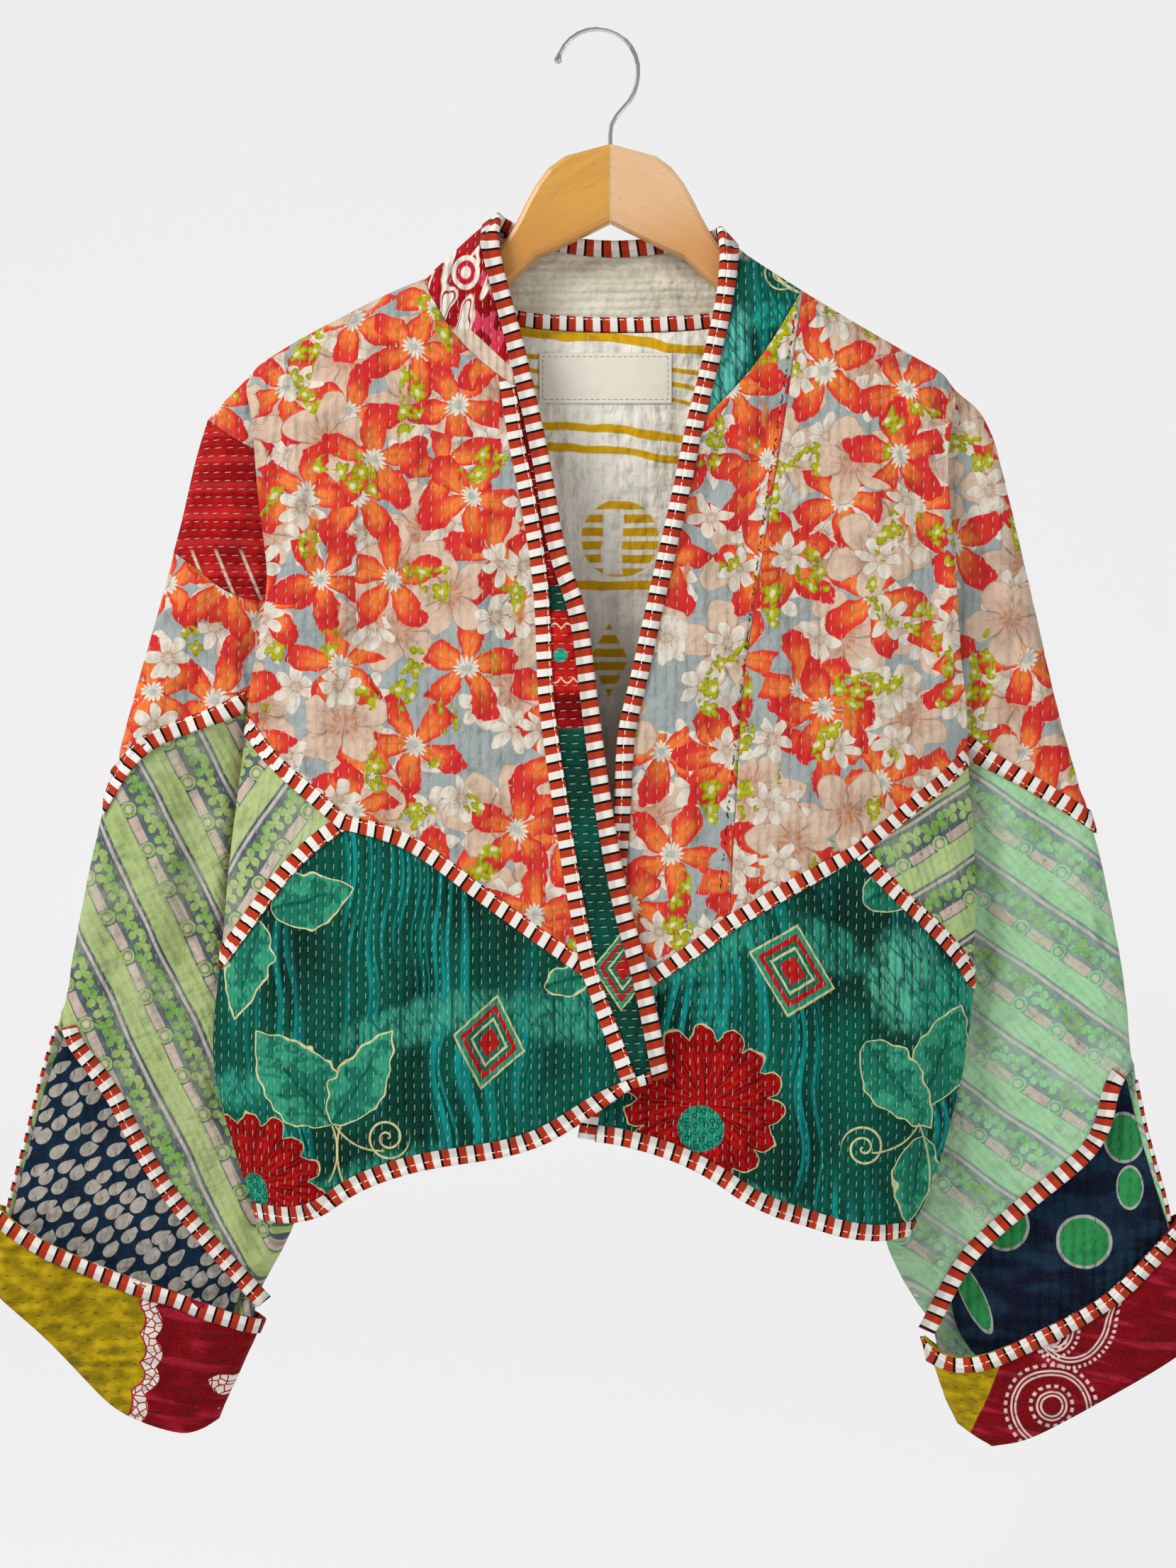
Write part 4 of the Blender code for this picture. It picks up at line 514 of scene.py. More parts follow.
def diamond(f, colour, x, z, right, up):
    """Rings of cream, teal and red in a slanting square; right and up lead from its middle to corners."""
    whole = right[0] * up[1] - right[1] * up[0]
    first = abs(x * (up[1] / whole) - z * (up[0] / whole))
    second = abs(z * (right[0] / whole) - x * (right[1] / whole))
    ring = first + second + (f.noise(x, z, 6.0, 1.0) - 0.5) * 0.06
    rings = ((1.0, "#D2C68C"), (0.94, "#2B8C6F"), (0.8, "#B0201C"), (0.64, "#0E6A57"), (0.52, "#D2C68C"))
    for edge, tone in (*rings, (0.45, "#0E6A57"), (0.32, "#B0201C")):
        colour = f.mix(f.smooth(ring, edge + 0.02, edge - 0.02), colour, tone)
    return colour


def leaf(f, colour, x, z, length, width, lean):
    """A pointed leaf with a cream outline and branching dark veins, from its stalk at nothing."""
    along, aside = f.turned(x, z, lean)
    aside = aside + (f.noise(along, aside, 14.0, 1.0) - 0.5) * 5
    share = f.maths("MAXIMUM", f.maths("MINIMUM", along / length, 1.0), 0.0)
    wavy = (f.noise(along, aside, 9.0, 0.0, seed=2.0) - 0.5) * 9
    room = f.maths("SINE", share**0.8 * math.pi) ** 0.85 * (wavy + width / 2) - abs(aside)
    blot = f.smooth(f.noise(along, aside, 10.0, 2.0, seed=3.0) - abs(aside) / width * 0.35, 0.4, 0.46)
    green = f.mix(f.noise(x * 1.4, z * 0.7, 9.0, 2.0), "#1F8468", "#3F9F7B")
    shade = f.mix(blot * 0.75, green, "#0A6350")
    vein = f.near(aside, 0.9, 0.5) * f.smooth(share, 0.75, 0.6)
    branch = f.near((along - abs(aside) * 0.9) % 15.0 - 7.5, 1.2, 0.6)
    branch = branch * f.smooth(aside, 0.0, 1.0) * f.smooth(room, 3.0, 5.0)
    shade = f.mix(f.maths("MAXIMUM", vein, branch * 0.5) * 0.8, shade, "#06503F")
    shade = f.mix(f.smooth(room, 1.6, 1.1), shade, "#D6CA92")
    return f.mix(f.smooth(room, 0.0, 0.35), colour, shade)


def big_flower(f, colour, x, z, reach, heart_x, heart_z, heart_wide, heart_high):
    """A full red flower with uneven rounded petals, and a ringed teal heart below its middle."""
    uneven = (f.noise(x, z, 13.0, 1.0) - 0.5) * 0.3
    rounds = ((1.0, 15, 0.3, "#6A0208", "#A80E10"), (0.72, 12, 1.1, "#740309", "#B81612"))
    for part, count, turn, dark, light in rounds:
        room, share, petal = f.flower(x, z, reach * part, count, turn, 0.84, 2.8)
        room = room + uneven
        tone = f.mix(f.smooth(f.noise(petal * 3.0, share * 2.0, 0.9, 2.0), 0.35, 0.65), light, dark)
        tone = f.mix(f.smooth(petal, 0.75, 1.0) * 0.8, tone, "#55060B")
        if part == 1.0:
            tone = f.mix(f.smooth(room, 0.035, 0.02), tone, "#D0C38C")
        colour = f.mix(f.smooth(room, 0.0, 0.015), colour, tone)
    x, z = x - heart_x, z - heart_z
    ring_x, ring_z, _ = f.cells(x, z, 4.6, 0.8)
    middle = f.mix(f.near(f.away(ring_x, ring_z) - 1.3, 0.35, 0.25), "#238A70", "#064C3D")
    heart = f.away(x / heart_wide, z / heart_high) + uneven * 0.5
    return f.mix(f.smooth(heart, 1.02, 0.96), colour, middle)


def spiral(f, colour, x, z, size, tail):
    """A double curl of cream line."""
    angle = f.maths("ARCTAN2", z, x) / (2 * math.pi)
    away = f.away(x, z)
    turn = (away / (size / 2.2) - angle + tail) % 1.0
    line = f.near(turn - 0.5, 0.1, 0.05) * f.smooth(away, size, size - 1.0)
    return f.mix(line, colour, "#D6CA92")


def stem(f, colour, x, z, to_x, to_z, sag):
    """A thin cream stalk from here to a place across and up, bowed in between."""
    length = math.hypot(to_x, to_z)
    share = (x * to_x + z * to_z) * (1 / length**2)
    off = (z * to_x - x * to_z) * (1 / length) - share * (1 - share) * 4 * sag
    return f.mix(f.near(off, 0.5, 0.5) * f.near(share - 0.5, 0.5, 0.02), colour, "#D6CA92")


def wash(f, colour, x, z, wide, high, tone, lean):
    """A cloudy pale patch in the dye, streaked upright, with a few dark strokes in it."""
    along, up = f.turned(x, z, lean)
    away = f.away(along / wide, up / high) + (f.noise(x, z * 0.6, 12.0, 3.0) - 0.5) * 0.9
    streak = f.noise(x, z * 0.05, 2.6, 1.0)
    share = f.smooth(away, 1.1, 0.6) * f.smooth(streak, 0.25, 0.6)
    stroke = f.near(f.noise(x * 0.9 + z * 0.5, z * 0.35, 9.0, 1.0, seed=17.0) - 0.5, 0.03, 0.02)
    return f.mix(share * 0.9, colour, f.mix(stroke * 0.75, tone, "#0B5A4A"))


def teal_ground(f, x, z):
    cloud = f.noise(x * 0.9, z * 0.5, 60.0, 3.0, 0.55)
    tone = f.mix(f.smooth(cloud, 0.36, 0.64), "#003329", "#005544")
    streak = f.smooth(f.noise(x + f.noise(x, z, 60.0, 0.0) * 30, z * 0.02, 3.4, 1.0, seed=4.0), 0.45, 0.62)
    group = f.smooth(f.noise(x * 1.2, z * 0.2, 44.0, 1.0, seed=6.0), 0.46, 0.6)
    return f.mix(streak * group * 0.85, tone, "#10908A")


def make_teal(name, motifs):
    f = Finish(name, sheen=0.0)
    colour = teal_ground(f, f.x, f.z)
    for draw, x, z, *sizes in motifs:
        colour = draw(f, colour, f.x - x, f.z - z, *sizes)
    return quilted(f, colour, f.x, f.z, thread="#C9DAD0", seed=2.0, bright=0.7)


TEAL_LEFT_MOTIFS = (
    (wash, -112, -604, 58, 15, "#3C9F83", 14),
    (wash, -20, -600, 46, 20, "#369A7E", 0),
    (wash, -228, -648, 26, 14, "#2F947A", 0),
    (wash, -150, -706, 60, 18, "#2A8C73", 25),
    (leaf, -206, -538, 53, 35, 15),
    (leaf, -213, -545, 63, 30, -105),
    (leaf, -168, -667, 73, 46, 130),
    (leaf, -168, -667, 69, 32, 57),
    (leaf, -40, -584, 38, 18, 20),
    (big_flower, -219, -706, 45, 2, -6, 9, 13),
    (diamond, -73, -617, (21.5, -5.0), (5.0, 28.5)),
    (stem, -166, -668, 30, -14, -5),
    (stem, -168, -668, -2, -34, 4),
    (stem, -163, -668, 2, -36, -3),
    (spiral, -134, -674, 14, 0.3),
)
TEAL_RIGHT_MOTIFS = (
    (wash, 60, -562, 44, 14, "#2E947A", 28),
    (wash, 130, -560, 30, 16, "#2C8C74", -30),
    (wash, 176, -580, 24, 32, "#54B999", 0),
    (wash, 206, -596, 28, 26, "#2F9C82", -20),
    (wash, 90, -716, 44, 13, "#2E947A", -22),
    (wash, 60, -620, 14, 50, "#1C8A7C", 0),
    (leaf, 152, -534, 50, 30, 30),
    (leaf, 188, -657, 66, 40, 66),
    (leaf, 153, -617, 70, 36, -52),
    (leaf, 190, -676, 56, 30, -99),
    (big_flower, 56, -655, 48, -2, -14, 14, 14),
    (diamond, 109, -574, (26.0, -11.1), (3.2, 27.7)),
    (stem, 187, -668, -30, -16, 5),
    (stem, 187, -668, 6, -60, 5),
    (spiral, 152, -681, 14, 0.8),
)

TEAL_BACK_MOTIFS = (
    (wash, -120, -630, 60, 16, "#369A7E", 8),
    (wash, 100, -620, 60, 18, "#369A7E", -10),
    (leaf, -160, -650, 62, 34, 110),
    (leaf, -160, -650, 60, 30, 40),
    (leaf, 150, -640, 66, 36, 70),
    (leaf, 150, -640, 60, 30, 140),
    (big_flower, -70, -610, 38, 2, -6, 11, 11),
    (big_flower, 196, -690, 40, 2, -6, 12, 12),
    (diamond, 40, -604, (20, -4), (4, 20)),
    (spiral, -10, -600, 12, 0.3),
)
COLLAR_MOTIFS = (
    (wash, 70, -205, 13, 34, "#5CC2B2", -15),
    (wash, 76, -131, 16, 11, "#DAD4BC", -40),
    (wash, 96, -178, 12, 9, "#1B9A88", 20),
    (spiral, 118, -142, 26, 0.5),
    (spiral, 104, -150, 12, 0.2),
)


def make_striped(name, lean, green, rows_lean, seed, greys=("#35424D", "#6C797C"), faded=0.0):
    """Slanting bands: plain green, pink bars and ring flowers, clover on grey-blue, a thin pale line."""
    f = Finish(name)
    along, across = f.turned(f.x, f.z, lean)
    band = (across + (f.noise(along, across, 50.0, 1.0) - 0.5) * 5 + seed * 7) % 40.0
    mottle = f.noise(f.x, f.z, 9.0, 3.0)
    grey = f.mix(mottle, *greys)
    printed = f.smooth(band, 13.0, 13.6) * f.smooth(band, 39.9, 39.4)
    tone = f.mix(printed, f.mix(mottle * 0.4, green, "#C3CFA0"), grey)
    pair = (along + seed * 11) % 27.0
    bar = f.near(pair - 9.0, 8.2, 0.4) * f.near(band - 17.0, 3.0, 0.4)
    tone = f.mix(bar * 0.9, tone, f.mix(mottle, "#BFA897", "#D8C3B4"))
    ring = f.away(pair - 22.2, band - 17.0)
    tone = f.mix(f.smooth(ring, 5.0, 4.4), tone, green)
    tone = f.mix(f.near(ring - 3.0, 0.5, 0.35) * 0.7, tone, "#5F7468")
    tone = f.mix(f.smooth(ring, 1.9, 1.5), tone, "#CDB5A5")
    chance_tone = f.smooth(f.noise(f.x, f.z, 20.0, 1.0, seed=seed + 2), 0.35, 0.65)
    for start, turn in ((0.0, 0.5), (9.0, 2.2), (18.0, 3.4)):
        sprig_x = (along + seed * 5 + start) % 27.0 - 13.5
        room, _, _ = f.flower(sprig_x, band - 27.0 - math.cos(start * 2.0) * 2.4, 6.6, 3, turn, 0.2, 1.8)
        tone = f.mix(f.smooth(room, -0.06, 0.0) * 0.6, tone, "#4A5F55")
        tone = f.mix(f.smooth(room, 0.0, 0.06), tone, f.mix(chance_tone, green, "#6FA24A"))
        stalk = f.near(sprig_x + (band - 27.0) * 0.7, 0.6, 0.3) * f.near(band - 30.0, 3.4, 0.4)
        tone = f.mix(stalk * 0.6, tone, "#7C9C5C")
    tone = f.mix(f.near(band - 37.0, 1.0, 0.35) * 0.85, tone, "#CDBFB4")
    worn = f.smooth(f.noise(f.x, f.z, 34.0, 3.0, 0.6, seed=seed), 0.4, 0.7)
    tone = f.mix(worn * 0.4 + faded, tone, f.mix(0.5, green, "#C6C8B8"))
    speck = f.smooth(f.noise(f.x, f.z, 5.0, 2.0, seed=seed + 4), 0.64, 0.7)
    tone = f.mix(speck * bar * 0.7, tone, "#7C827B")
    u, v = f.turned(f.x, f.z, rows_lean)
    return quilted(f, tone, u, v, seed=seed, length=2.6, gap=4.4, bright=0.65, lines=0.06, puffed=0.3)


def make_red(name, pale, seed=0.0):
    """Red cloth; the collar's has broad cream strokes and pink patches, the sleeve's has lighter rows."""
    f = Finish(name)
    cloud = f.noise(f.x, f.z * 0.5, 16.0, 3.0)
    if not pale:
        tone = f.mix(f.smooth(cloud, 0.35, 0.7), "#8E0A10", "#B8181A")
        rows = f.near(f.z % 17.0 - 8.0, 2.6, 1.6)
        tone = f.mix(rows * 0.5, tone, "#CE3430")
        low = f.smooth(f.z, -318, -322)
        line = f.near((f.x + f.z * 0.4) % 15.0 - 7.0, 1.0, 0.4) * low
        return quilted(f, f.mix(line * 0.8, tone, "#D9C9AE"), f.z, f.x, seed=seed)
    tone = f.mix(f.smooth(cloud, 0.35, 0.7), "#86060F", "#B4131C")
    pink = f.smooth(f.noise(f.x, f.z, 15.0, 1.0, seed=8.0), 0.53, 0.58)
    tone = f.mix(pink, tone, "#CE3A55")
    lean = f.x + 92 - (f.z + 150) * 0.2
    patch = f.noise(lean, f.z * 0.4, 10.0, 1.0, seed=3.0)
    tone = f.mix(f.smooth(patch, 0.5, 0.54), tone, "#E8E0D0")
    tone = f.mix(f.near(patch - 0.6, 0.018, 0.012), tone, "#A8101C")
    curl = f.away(f.x + 88, (f.z + 151) * 0.8)
    tone = f.mix(f.smooth(curl, 9.0, 8.3), tone, "#E8E0D0")
    tone = f.mix(f.near(curl - 4.6, 1.5, 0.5), tone, "#C01D34")
    seam = f.smooth((f.x + 100) * 0.69 + (f.z + 183) * 0.73, 8.3, 7.7) * f.smooth(f.z, -184, -188)
    tone = f.mix(f.smooth(f.z, -209, -211), tone, "#0E7A66")
    tone = f.mix(seam, tone, f.mix(f.noise(f.x, f.z, 9.0, 2.0), "#C9B09A", "#E0CDB8"))
    return quilted(f, tone, f.x, f.z, seed=seed)


def make_band(name):
    """The front band's print: red, teal, a scalloped red medallion, dark red, then teal to the hem."""
    f = Finish(name)
    cloud = f.smooth(f.noise(f.x, f.z, 14.0, 3.0), 0.35, 0.7)
    red = f.mix(cloud, "#6A0409", "#A00C14")
    red = f.mix(f.near(f.z + 383, 24.0, 3.0), red, f.mix(cloud, "#A20D12", "#D0281F"))
    teal = diamond(f, teal_ground(f, f.x, f.z), f.x - 8, f.z + 572, (19, 0), (2, 26))
    colour = f.mix(f.near(f.z + 350, 7.5, 0.6) + f.smooth(f.z, -427.5, -429.5), red, teal)
    bump = abs(f.maths("SINE", f.x * 0.42)) * 3.2
    for up, way in ((-368.5, 1.0), (-398.0, -1.0)):
        colour = f.mix(f.near(f.z - up - bump * way, 0.55, 0.3), colour, "#E0CFB4")
    colour = f.mix(f.smooth(f.away(f.x + 30.3, f.z + 384.5), 4.6, 4.2), colour, "#2C9B80")
    return quilted(f, colour, f.z, f.x, seed=7.0, bright=0.7)


def make_plain(name, low, high, seed):
    """Faded cloth in one colour."""
    f = Finish(name)
    cloud = f.noise(f.x * 0.5, f.z * 1.6, 24.0, 3.0, seed=seed)
    tone = f.mix(f.smooth(cloud, 0.3, 0.7), low, high)
    return quilted(f, tone, f.z, f.x, thread="#F2EEE2", seed=seed, bright=0.4, lines=0.05, puffed=0.3)


def make_cream_print(name):
    """Pale lining cloth with mustard lines, and a striped disc over a striped spindle."""
    f = Finish(name)
    cloud = f.noise(f.x * 2.0, f.z * 0.3, 18.0, 3.0)
    tone = f.mix(f.smooth(cloud, 0.3, 0.75), "#DEDBCB", "#F6F2E6")
    waver = (f.noise(f.x, f.z, 22.0, 1.0) - 0.5) * 5
    bow = f.z + f.x * 0.1 + abs(f.x) * 0.06 + waver
    for up, half in ((-186, 3.0), (-200, 1.5), (-209, 1.5), (-219, 1.3), (-242, 2.6), (-255, 2.4)):
        tone = f.mix(f.near(bow - up, half, 0.5), tone, "#CF9F14")
    bars = f.near((f.z + waver * 0.3 + 3.0) % 8.3 - 4.15, 2.6, 0.4)
    gap = f.near(f.x - 1.5 - waver, 6.0, 0.5) * f.smooth(f.z, -291, -293) * f.smooth(f.z, -333, -331)
    disc = f.smooth(f.away(f.x - 6.0, f.z + 310.0) + waver * 0.3, 24.5, 23.5) * (1 - gap)
    spindle = f.smooth(13.0 - abs(f.x + 0.6) - abs(f.z + 385.0) * 0.55, 0.0, 1.0)
    tone = f.mix(f.maths("MAXIMUM", disc, spindle) * bars, tone, "#D2A116")
    tone = f.mix(f.near(f.z + 339 + waver * 0.5, 2.8, 0.4) * f.near(f.x, 42.0, 1.0), tone, "#D2A116")
    return quilted(f, tone, f.x, f.z, seed=11.0, rows=9.0, gap=6.0, bright=0.6, lines=0.05, puffed=0.2)


def drop_room(f, across, up, reach, turn):
    """How far inside a teardrop a place is: round, drawn out to one point."""
    tip = f.maths("MAXIMUM", f.maths("COSINE", f.maths("ARCTAN2", up, across) - turn), 0.0)
    return (tip**14 * 0.42 + tip**2 * 0.16 + 0.74) * reach - f.away(across, up)


def make_drops(name):
    """Grey drops, all pointing the same way, larger towards the cuff."""
    f = Finish(name, behind=NEVER)
    along, aside = f.turned(f.x, f.z, 40)
    across, up, chance = f.cells(along * 0.76, aside, 10.0, 0.45)
    reach = 4.4 + chance[0] * 1.2 + f.smooth(f.z, -680, -780) * 0.6
    room = drop_room(f, across, up, reach, (chance[1] - 0.5) * 0.6)
    tone = f.mix(f.noise(f.x, f.z, 3.0, 2.0), "#958F86", "#BDB7AC")
    tone = f.mix(f.smooth(room, 0.0, 0.35), "#152C3E", tone)
    sewing = {"rows": 8.0, "gap": 6.0, "lines": 0.06, "puffed": 0.3}
    return quilted(f, tone, f.x, f.z, thread="#6E1F2D", seed=12.0, **sewing)


# Green discs of the right vent's dark cloth: middle across and up, half width, half height, lean
DISCS = (
    (295, -747, 17, 17, 0), (247, -738, 15, 16, 0), (228, -784, 7, 24, 25), (205, -797, 9, 12, 30),
    (318, -681, 12, 16, 0), (322, -712, 8, 14, 0), (262, -690, 15, 15, 0),
)


def make_discs(name):
    """Dark cloth with grey-rimmed green discs."""
    f = Finish(name, behind=NEVER)
    tone = f.mix(f.smooth(f.noise(f.x, f.z * 2.0, 30.0, 2.0), 0.4, 0.65), "#101B2E", "#1B3448")
    for x, z, wide, high, lean in DISCS:
        along, up = f.turned(f.x - x, f.z - z, lean)
        away = f.away(along / wide, up / high) + (f.noise(f.x, f.z, 12.0, 1.0) - 0.5) * 0.08
        tone = f.mix(f.smooth(away, 1.02, 0.98), tone, "#A9ABA2")
        green = f.mix(f.noise(f.x, f.z, 6.0), "#26844A", "#3A9A58")
        tone = f.mix(f.smooth(away, 0.9, 0.86), tone, green)
    return quilted(f, tone, f.x, f.z, thread="#5E1A28", seed=13.0, rows=6.5)


def cuff_cloths(f):
    """The three cloths of both cuffs: mustard, crimson, and crackled cream on crimson."""
    mustard = f.mix(f.smooth(f.noise(f.x, f.z * 1.6, 12.0, 3.0), 0.35, 0.7), "#8A760A", "#BD9F16")
    sweep = f.noise(f.x * 0.15, f.z + f.x * 0.2, 6.0, 1.0)
    deep = f.mix(f.noise(f.x, f.z, 12.0, 3.0), "#62030F", "#8A0818")
    crimson = f.mix(f.smooth(sweep, 0.52, 0.7) * 0.8, deep, "#A82238")
    crackle = f.mix(f.smooth(f.cracks(f.x, f.z, 4.6), 0.55, 0.25), "#E6DFD3", "#A3142A")
    return mustard, crimson, crackle


def quilted_cuff(f, tone):
    sewing = {"rows": 8.0, "length": 2.6, "gap": 6.0, "bright": 0.75}
    return quilted(f, tone, f.z, f.x, thread="#3A1A1C", seed=14.0, **sewing)


def make_cuff_left(name):
    """Mustard at the outer end, a scalloped crackled border, then crimson."""
    f = Finish(name)
    mustard, crimson, crackle = cuff_cloths(f)
    scallop = abs(f.maths("SINE", (f.z + f.x * 0.3) * 0.17)) * 4.0
    at = f.x + 284 + f.smooth(f.z, -776, -752) * 34 + f.smooth(f.z, -822, -846) * 9 - scallop
    tone = f.mix(f.smooth(at, -6.6, -6.1), mustard, "#A3142C")
    tone = f.mix(f.smooth(at, -5.4, -5.0), tone, crackle)
    tone = f.mix(f.smooth(at, 3.4, 3.9), tone, crimson)
    for x, z, reach in ((-356, -738, 11), (-240, -836, 10), (-236, -852, 8)):
        tone = f.mix(f.smooth(f.away(f.x - x, f.z - z) + scallop, reach + 0.4, reach), tone, crackle)
    return quilted_cuff(f, tone)


def ringed(f, colour, away, reach, count, angle):
    """Two cream lines about a shape, and a row of beads outside them."""
    for off in (0.0, -2.4):
        colour = f.mix(f.near(away - reach - off, 0.6, 0.3) * 0.9, colour, "#E3CFC8")
    bead = f.near((angle * (count / (2 * math.pi))) % 1.0 - 0.5, 0.26, 0.08)
    return f.mix(bead * f.near(away - reach - 3.6, 1.0, 0.4) * 0.9, colour, "#E3CFC8")


def make_cuff_right(name):
    """A mustard corner, then crimson with beaded rings and one paisley."""
    f = Finish(name)
    mustard, crimson, _ = cuff_cloths(f)
    for x, z, reach, count in ((272, -847, 24, 34), (331, -746, 6, 12), (272, -845, 9, 16)):
        angle = f.maths("ARCTAN2", f.z - z, f.x - x)
        crimson = ringed(f, crimson, f.away(f.x - x, f.z - z), reach, count, angle)
    for x, z, reach, count in ((284, -797, 28.0, 44), (274, -801, 13.0, 24), (273, -803, 5.0, 9)):
        across, up = f.x - x, f.z - z
        angle = f.maths("ARCTAN2", up, across)
        crimson = ringed(f, crimson, -drop_room(f, across, up, reach, 0.85), 0.0, count, angle)
    at = f.x - 248 - (f.z + 803) * 0.4
    tone = f.mix(f.smooth(at, -0.5, 0.5), mustard, crimson)
    return quilted_cuff(f, tone)


def make_stripes(name):
    """Bias binding: white, a black line and rust red across the strip, with one row of topstitching."""
    f = Finish(name)
    split = f.node("ShaderNodeUVMap", {"uv_map": "strip"})
    place = f.node("ShaderNodeSeparateXYZ", Vector=Value(f, split.outputs[0]))
    u, v = (Value(f, place.outputs[k]) * (1 / MM) for k in range(2))
    repeat = (u + v * 0.06 + (f.noise(u, v, 40.0, 1.0) - 0.5) * 1.6) % 10.4
    red = f.mix(f.noise(u, v, 5.0, 2.0), "#A5301B", "#BE4028")
    tone = f.mix(f.smooth(repeat, 4.3, 4.5), "#E6E2DA", "#14110E")
    tone = f.mix(f.smooth(repeat, 5.75, 5.95), tone, red)
    tone = f.mix(f.smooth(repeat, 10.2, 10.4), tone, "#E6E2DA")
    # Painted shade: the strip darkens towards its folded edges, where it turns away round the cloth's edge.
    tone = f.mix(f.smooth(abs(v), 4.2, 5.6) * 0.25, tone, "#2A2420")
    thread = f.near(v - 3.3, 0.26, 0.1) * f.near(u % 4.4 - 2.2, 1.4, 0.2)
    tone = f.mix(thread * 0.85, tone, "#F1EBDD")
    pinch = f.near(v - 3.3, 0.9, 0.7)
    relief = 1 - pinch * 0.8 + weave(f, u, v, 0.4) * 0.08 + f.noise(u * 1.4, v * 0.5, 3.0, 2.0) * 0.7
    return f.finish(tone, relief, depth=0.6, strength=0.7)


def make_label(name):
    """Bare cotton tape with a stitched edge."""
    f = Finish(name)
    tone = f.mix(f.noise(f.x, f.z, 8.0, 3.0), "#DCD5C5", "#E9E3D5")
    low, high = (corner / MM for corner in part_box("label"))
    middle, half = (low + high) / 2, (high - low) / 2
    seam = 2.2  # the row of stitches lies this far inside the edge
    across = abs(f.x - (middle.x - HANGER_CENTRE)) - (half.x - seam)
    up = abs(f.z - middle.z) - (half.z - seam)
    edge = f.near(f.maths("MAXIMUM", across, up), 0.28, 0.1)
    dash = f.near((f.x + f.z) % 3.6 - 1.8, 1.1, 0.15)
    tone = f.mix(edge * dash, tone, "#9A9384")
    return f.finish(tone, weave(f, f.x, f.z, 0.5) * 0.5 + f.noise(f.x, f.z, 12.0) * 0.5, depth=0.2)


def make_wood(name, low, high, lean, warm_end):
    """Planed, lacquered wood with its fine grain along the arm."""
    f = Finish(name, roughness=0.36, Coat_Weight=0.2, Coat_Roughness=0.3, Specular_IOR_Level=0.35)
    along, across = f.turned(f.x, f.z, lean)
    bend = across + (f.noise(along * 0.4, across, 60.0, 1.0) - 0.5) * 9
    grain = f.noise(along * 0.05, bend, 1.5, 2.0, 0.55)
    wide = f.noise(along * 0.08, bend, 8.0, 1.0)
    tone = f.mix(grain * 0.45 + wide * 0.55, low, high)
    fleck = f.smooth(f.noise(along * 0.2, bend * 2.0, 1.5, 1.0, seed=5.0), 0.64, 0.72)
    tone = f.mix(fleck * 0.3, tone, "#8A5A30")
    # Painted shade: the wood turns deeper honey towards the arm's lower, outer end, so its upper part stays
    # pale as a painted highlight; the last argument only tilts this fade along the arm.
    tone = f.mix(f.smooth(f.z - f.x * warm_end * 0.2, -105, -150) * 0.75, tone, "#C58442")
    return f.finish(tone, grain, depth=0.08, strength=0.3)


def make_black_thread(name):
    f = Finish(name)
    return f.finish(f.mix(f.noise(f.x, f.z, 2.0), "#15120F", "#2B2622"))


def make_wire(name):
    f = Finish(name, roughness=0.18, Metallic=1.0, Specular_IOR_Level=0.5)
    tone = f.mix(f.noise(f.x, f.z, 5.0, 2.0), "#B9BCC0", "#D9DBDD")
    return f.finish(tone, f.noise(f.x, f.z, 0.8), depth=0.02)


FINISHES = {
    name: make(name, *settings)
    for name, make, *settings in (
        ("floral", make_floral),
        ("floral_inner", make_floral, 37, 118),
        ("floral_sleeve_left", make_floral, 520, 61),
        ("floral_sleeve_right", make_floral, -410, 207),
        ("striped_left", make_striped, -65, "#A0B56B", 25, 1.0),
        ("striped_right", make_striped, -35, "#8BCF98", 40, 6.0, ("#5F7376", "#8798A0"), 0.2),
        ("wedge_left", make_striped, 55, "#A5B873", -10, 3.0),
        ("wedge_right", make_striped, 30, "#A9C67C", 15, 4.0),
        ("teal_left", make_teal, TEAL_LEFT_MOTIFS),
        ("teal_right", make_teal, TEAL_RIGHT_MOTIFS),
        ("teal_plain", make_teal, TEAL_BACK_MOTIFS),
        ("collar_teal", make_teal, COLLAR_MOTIFS),
        ("band_print", make_band),
        ("red_print", make_red, True),
        ("red_patch", make_red, False, 5.0),
        ("neck_cotton", make_plain, "#C4BDA6", "#DCD6C4", 9.0),
        ("cuff_print_left", make_cuff_left),
        ("cuff_print_right", make_cuff_right),
        ("cream_print", make_cream_print),
        ("label_cotton", make_label),
        ("drops", make_drops),
        ("discs", make_discs),
        ("binding_stripes", make_stripes),
        ("wood_left", make_wood, "#BA8238", "#DDA852", 28, -1.0),
        ("wood_right", make_wood, "#D2A272", "#E6C098", -30, 1.0),
        ("hook_wire", make_wire),
        ("black_thread", make_black_thread),
    )
}


def picked(piece):
    """Select one piece alone and make it the active one."""
    bpy.ops.object.select_all(action="DESELECT")
    piece.select_set(True)
    bpy.context.view_layer.objects.active = piece


def fresh_copy(node, name):
    """A merged copy of a node's own mesh, to be worked on."""
    made = frame["nodes"][node].copy()
    made.data = frame["nodes"][node].data.copy()
    made.name = made.data.name = name
    made.parent = None
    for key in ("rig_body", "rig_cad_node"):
        if key in made:
            del made[key]
    bpy.context.scene.collection.objects.link(made)
    picked(made)
    bpy.ops.object.mode_set(mode="EDIT")
    bpy.ops.mesh.select_all(action="SELECT")
    bpy.ops.mesh.remove_doubles(threshold=1e-5)
    bpy.ops.object.mode_set(mode="OBJECT")
    made.data.materials.clear()
    return made


def points_of(mesh, what="co"):
    """A mesh's points or normals, one to a row."""
    flat = np.zeros(len(mesh.vertices) * 3)
    mesh.vertices.foreach_get(what, flat)
    return flat.reshape(-1, 3)


def set_points(mesh, points):
    mesh.vertices.foreach_set("co", np.ascontiguousarray(points, float).ravel())
    mesh.update()


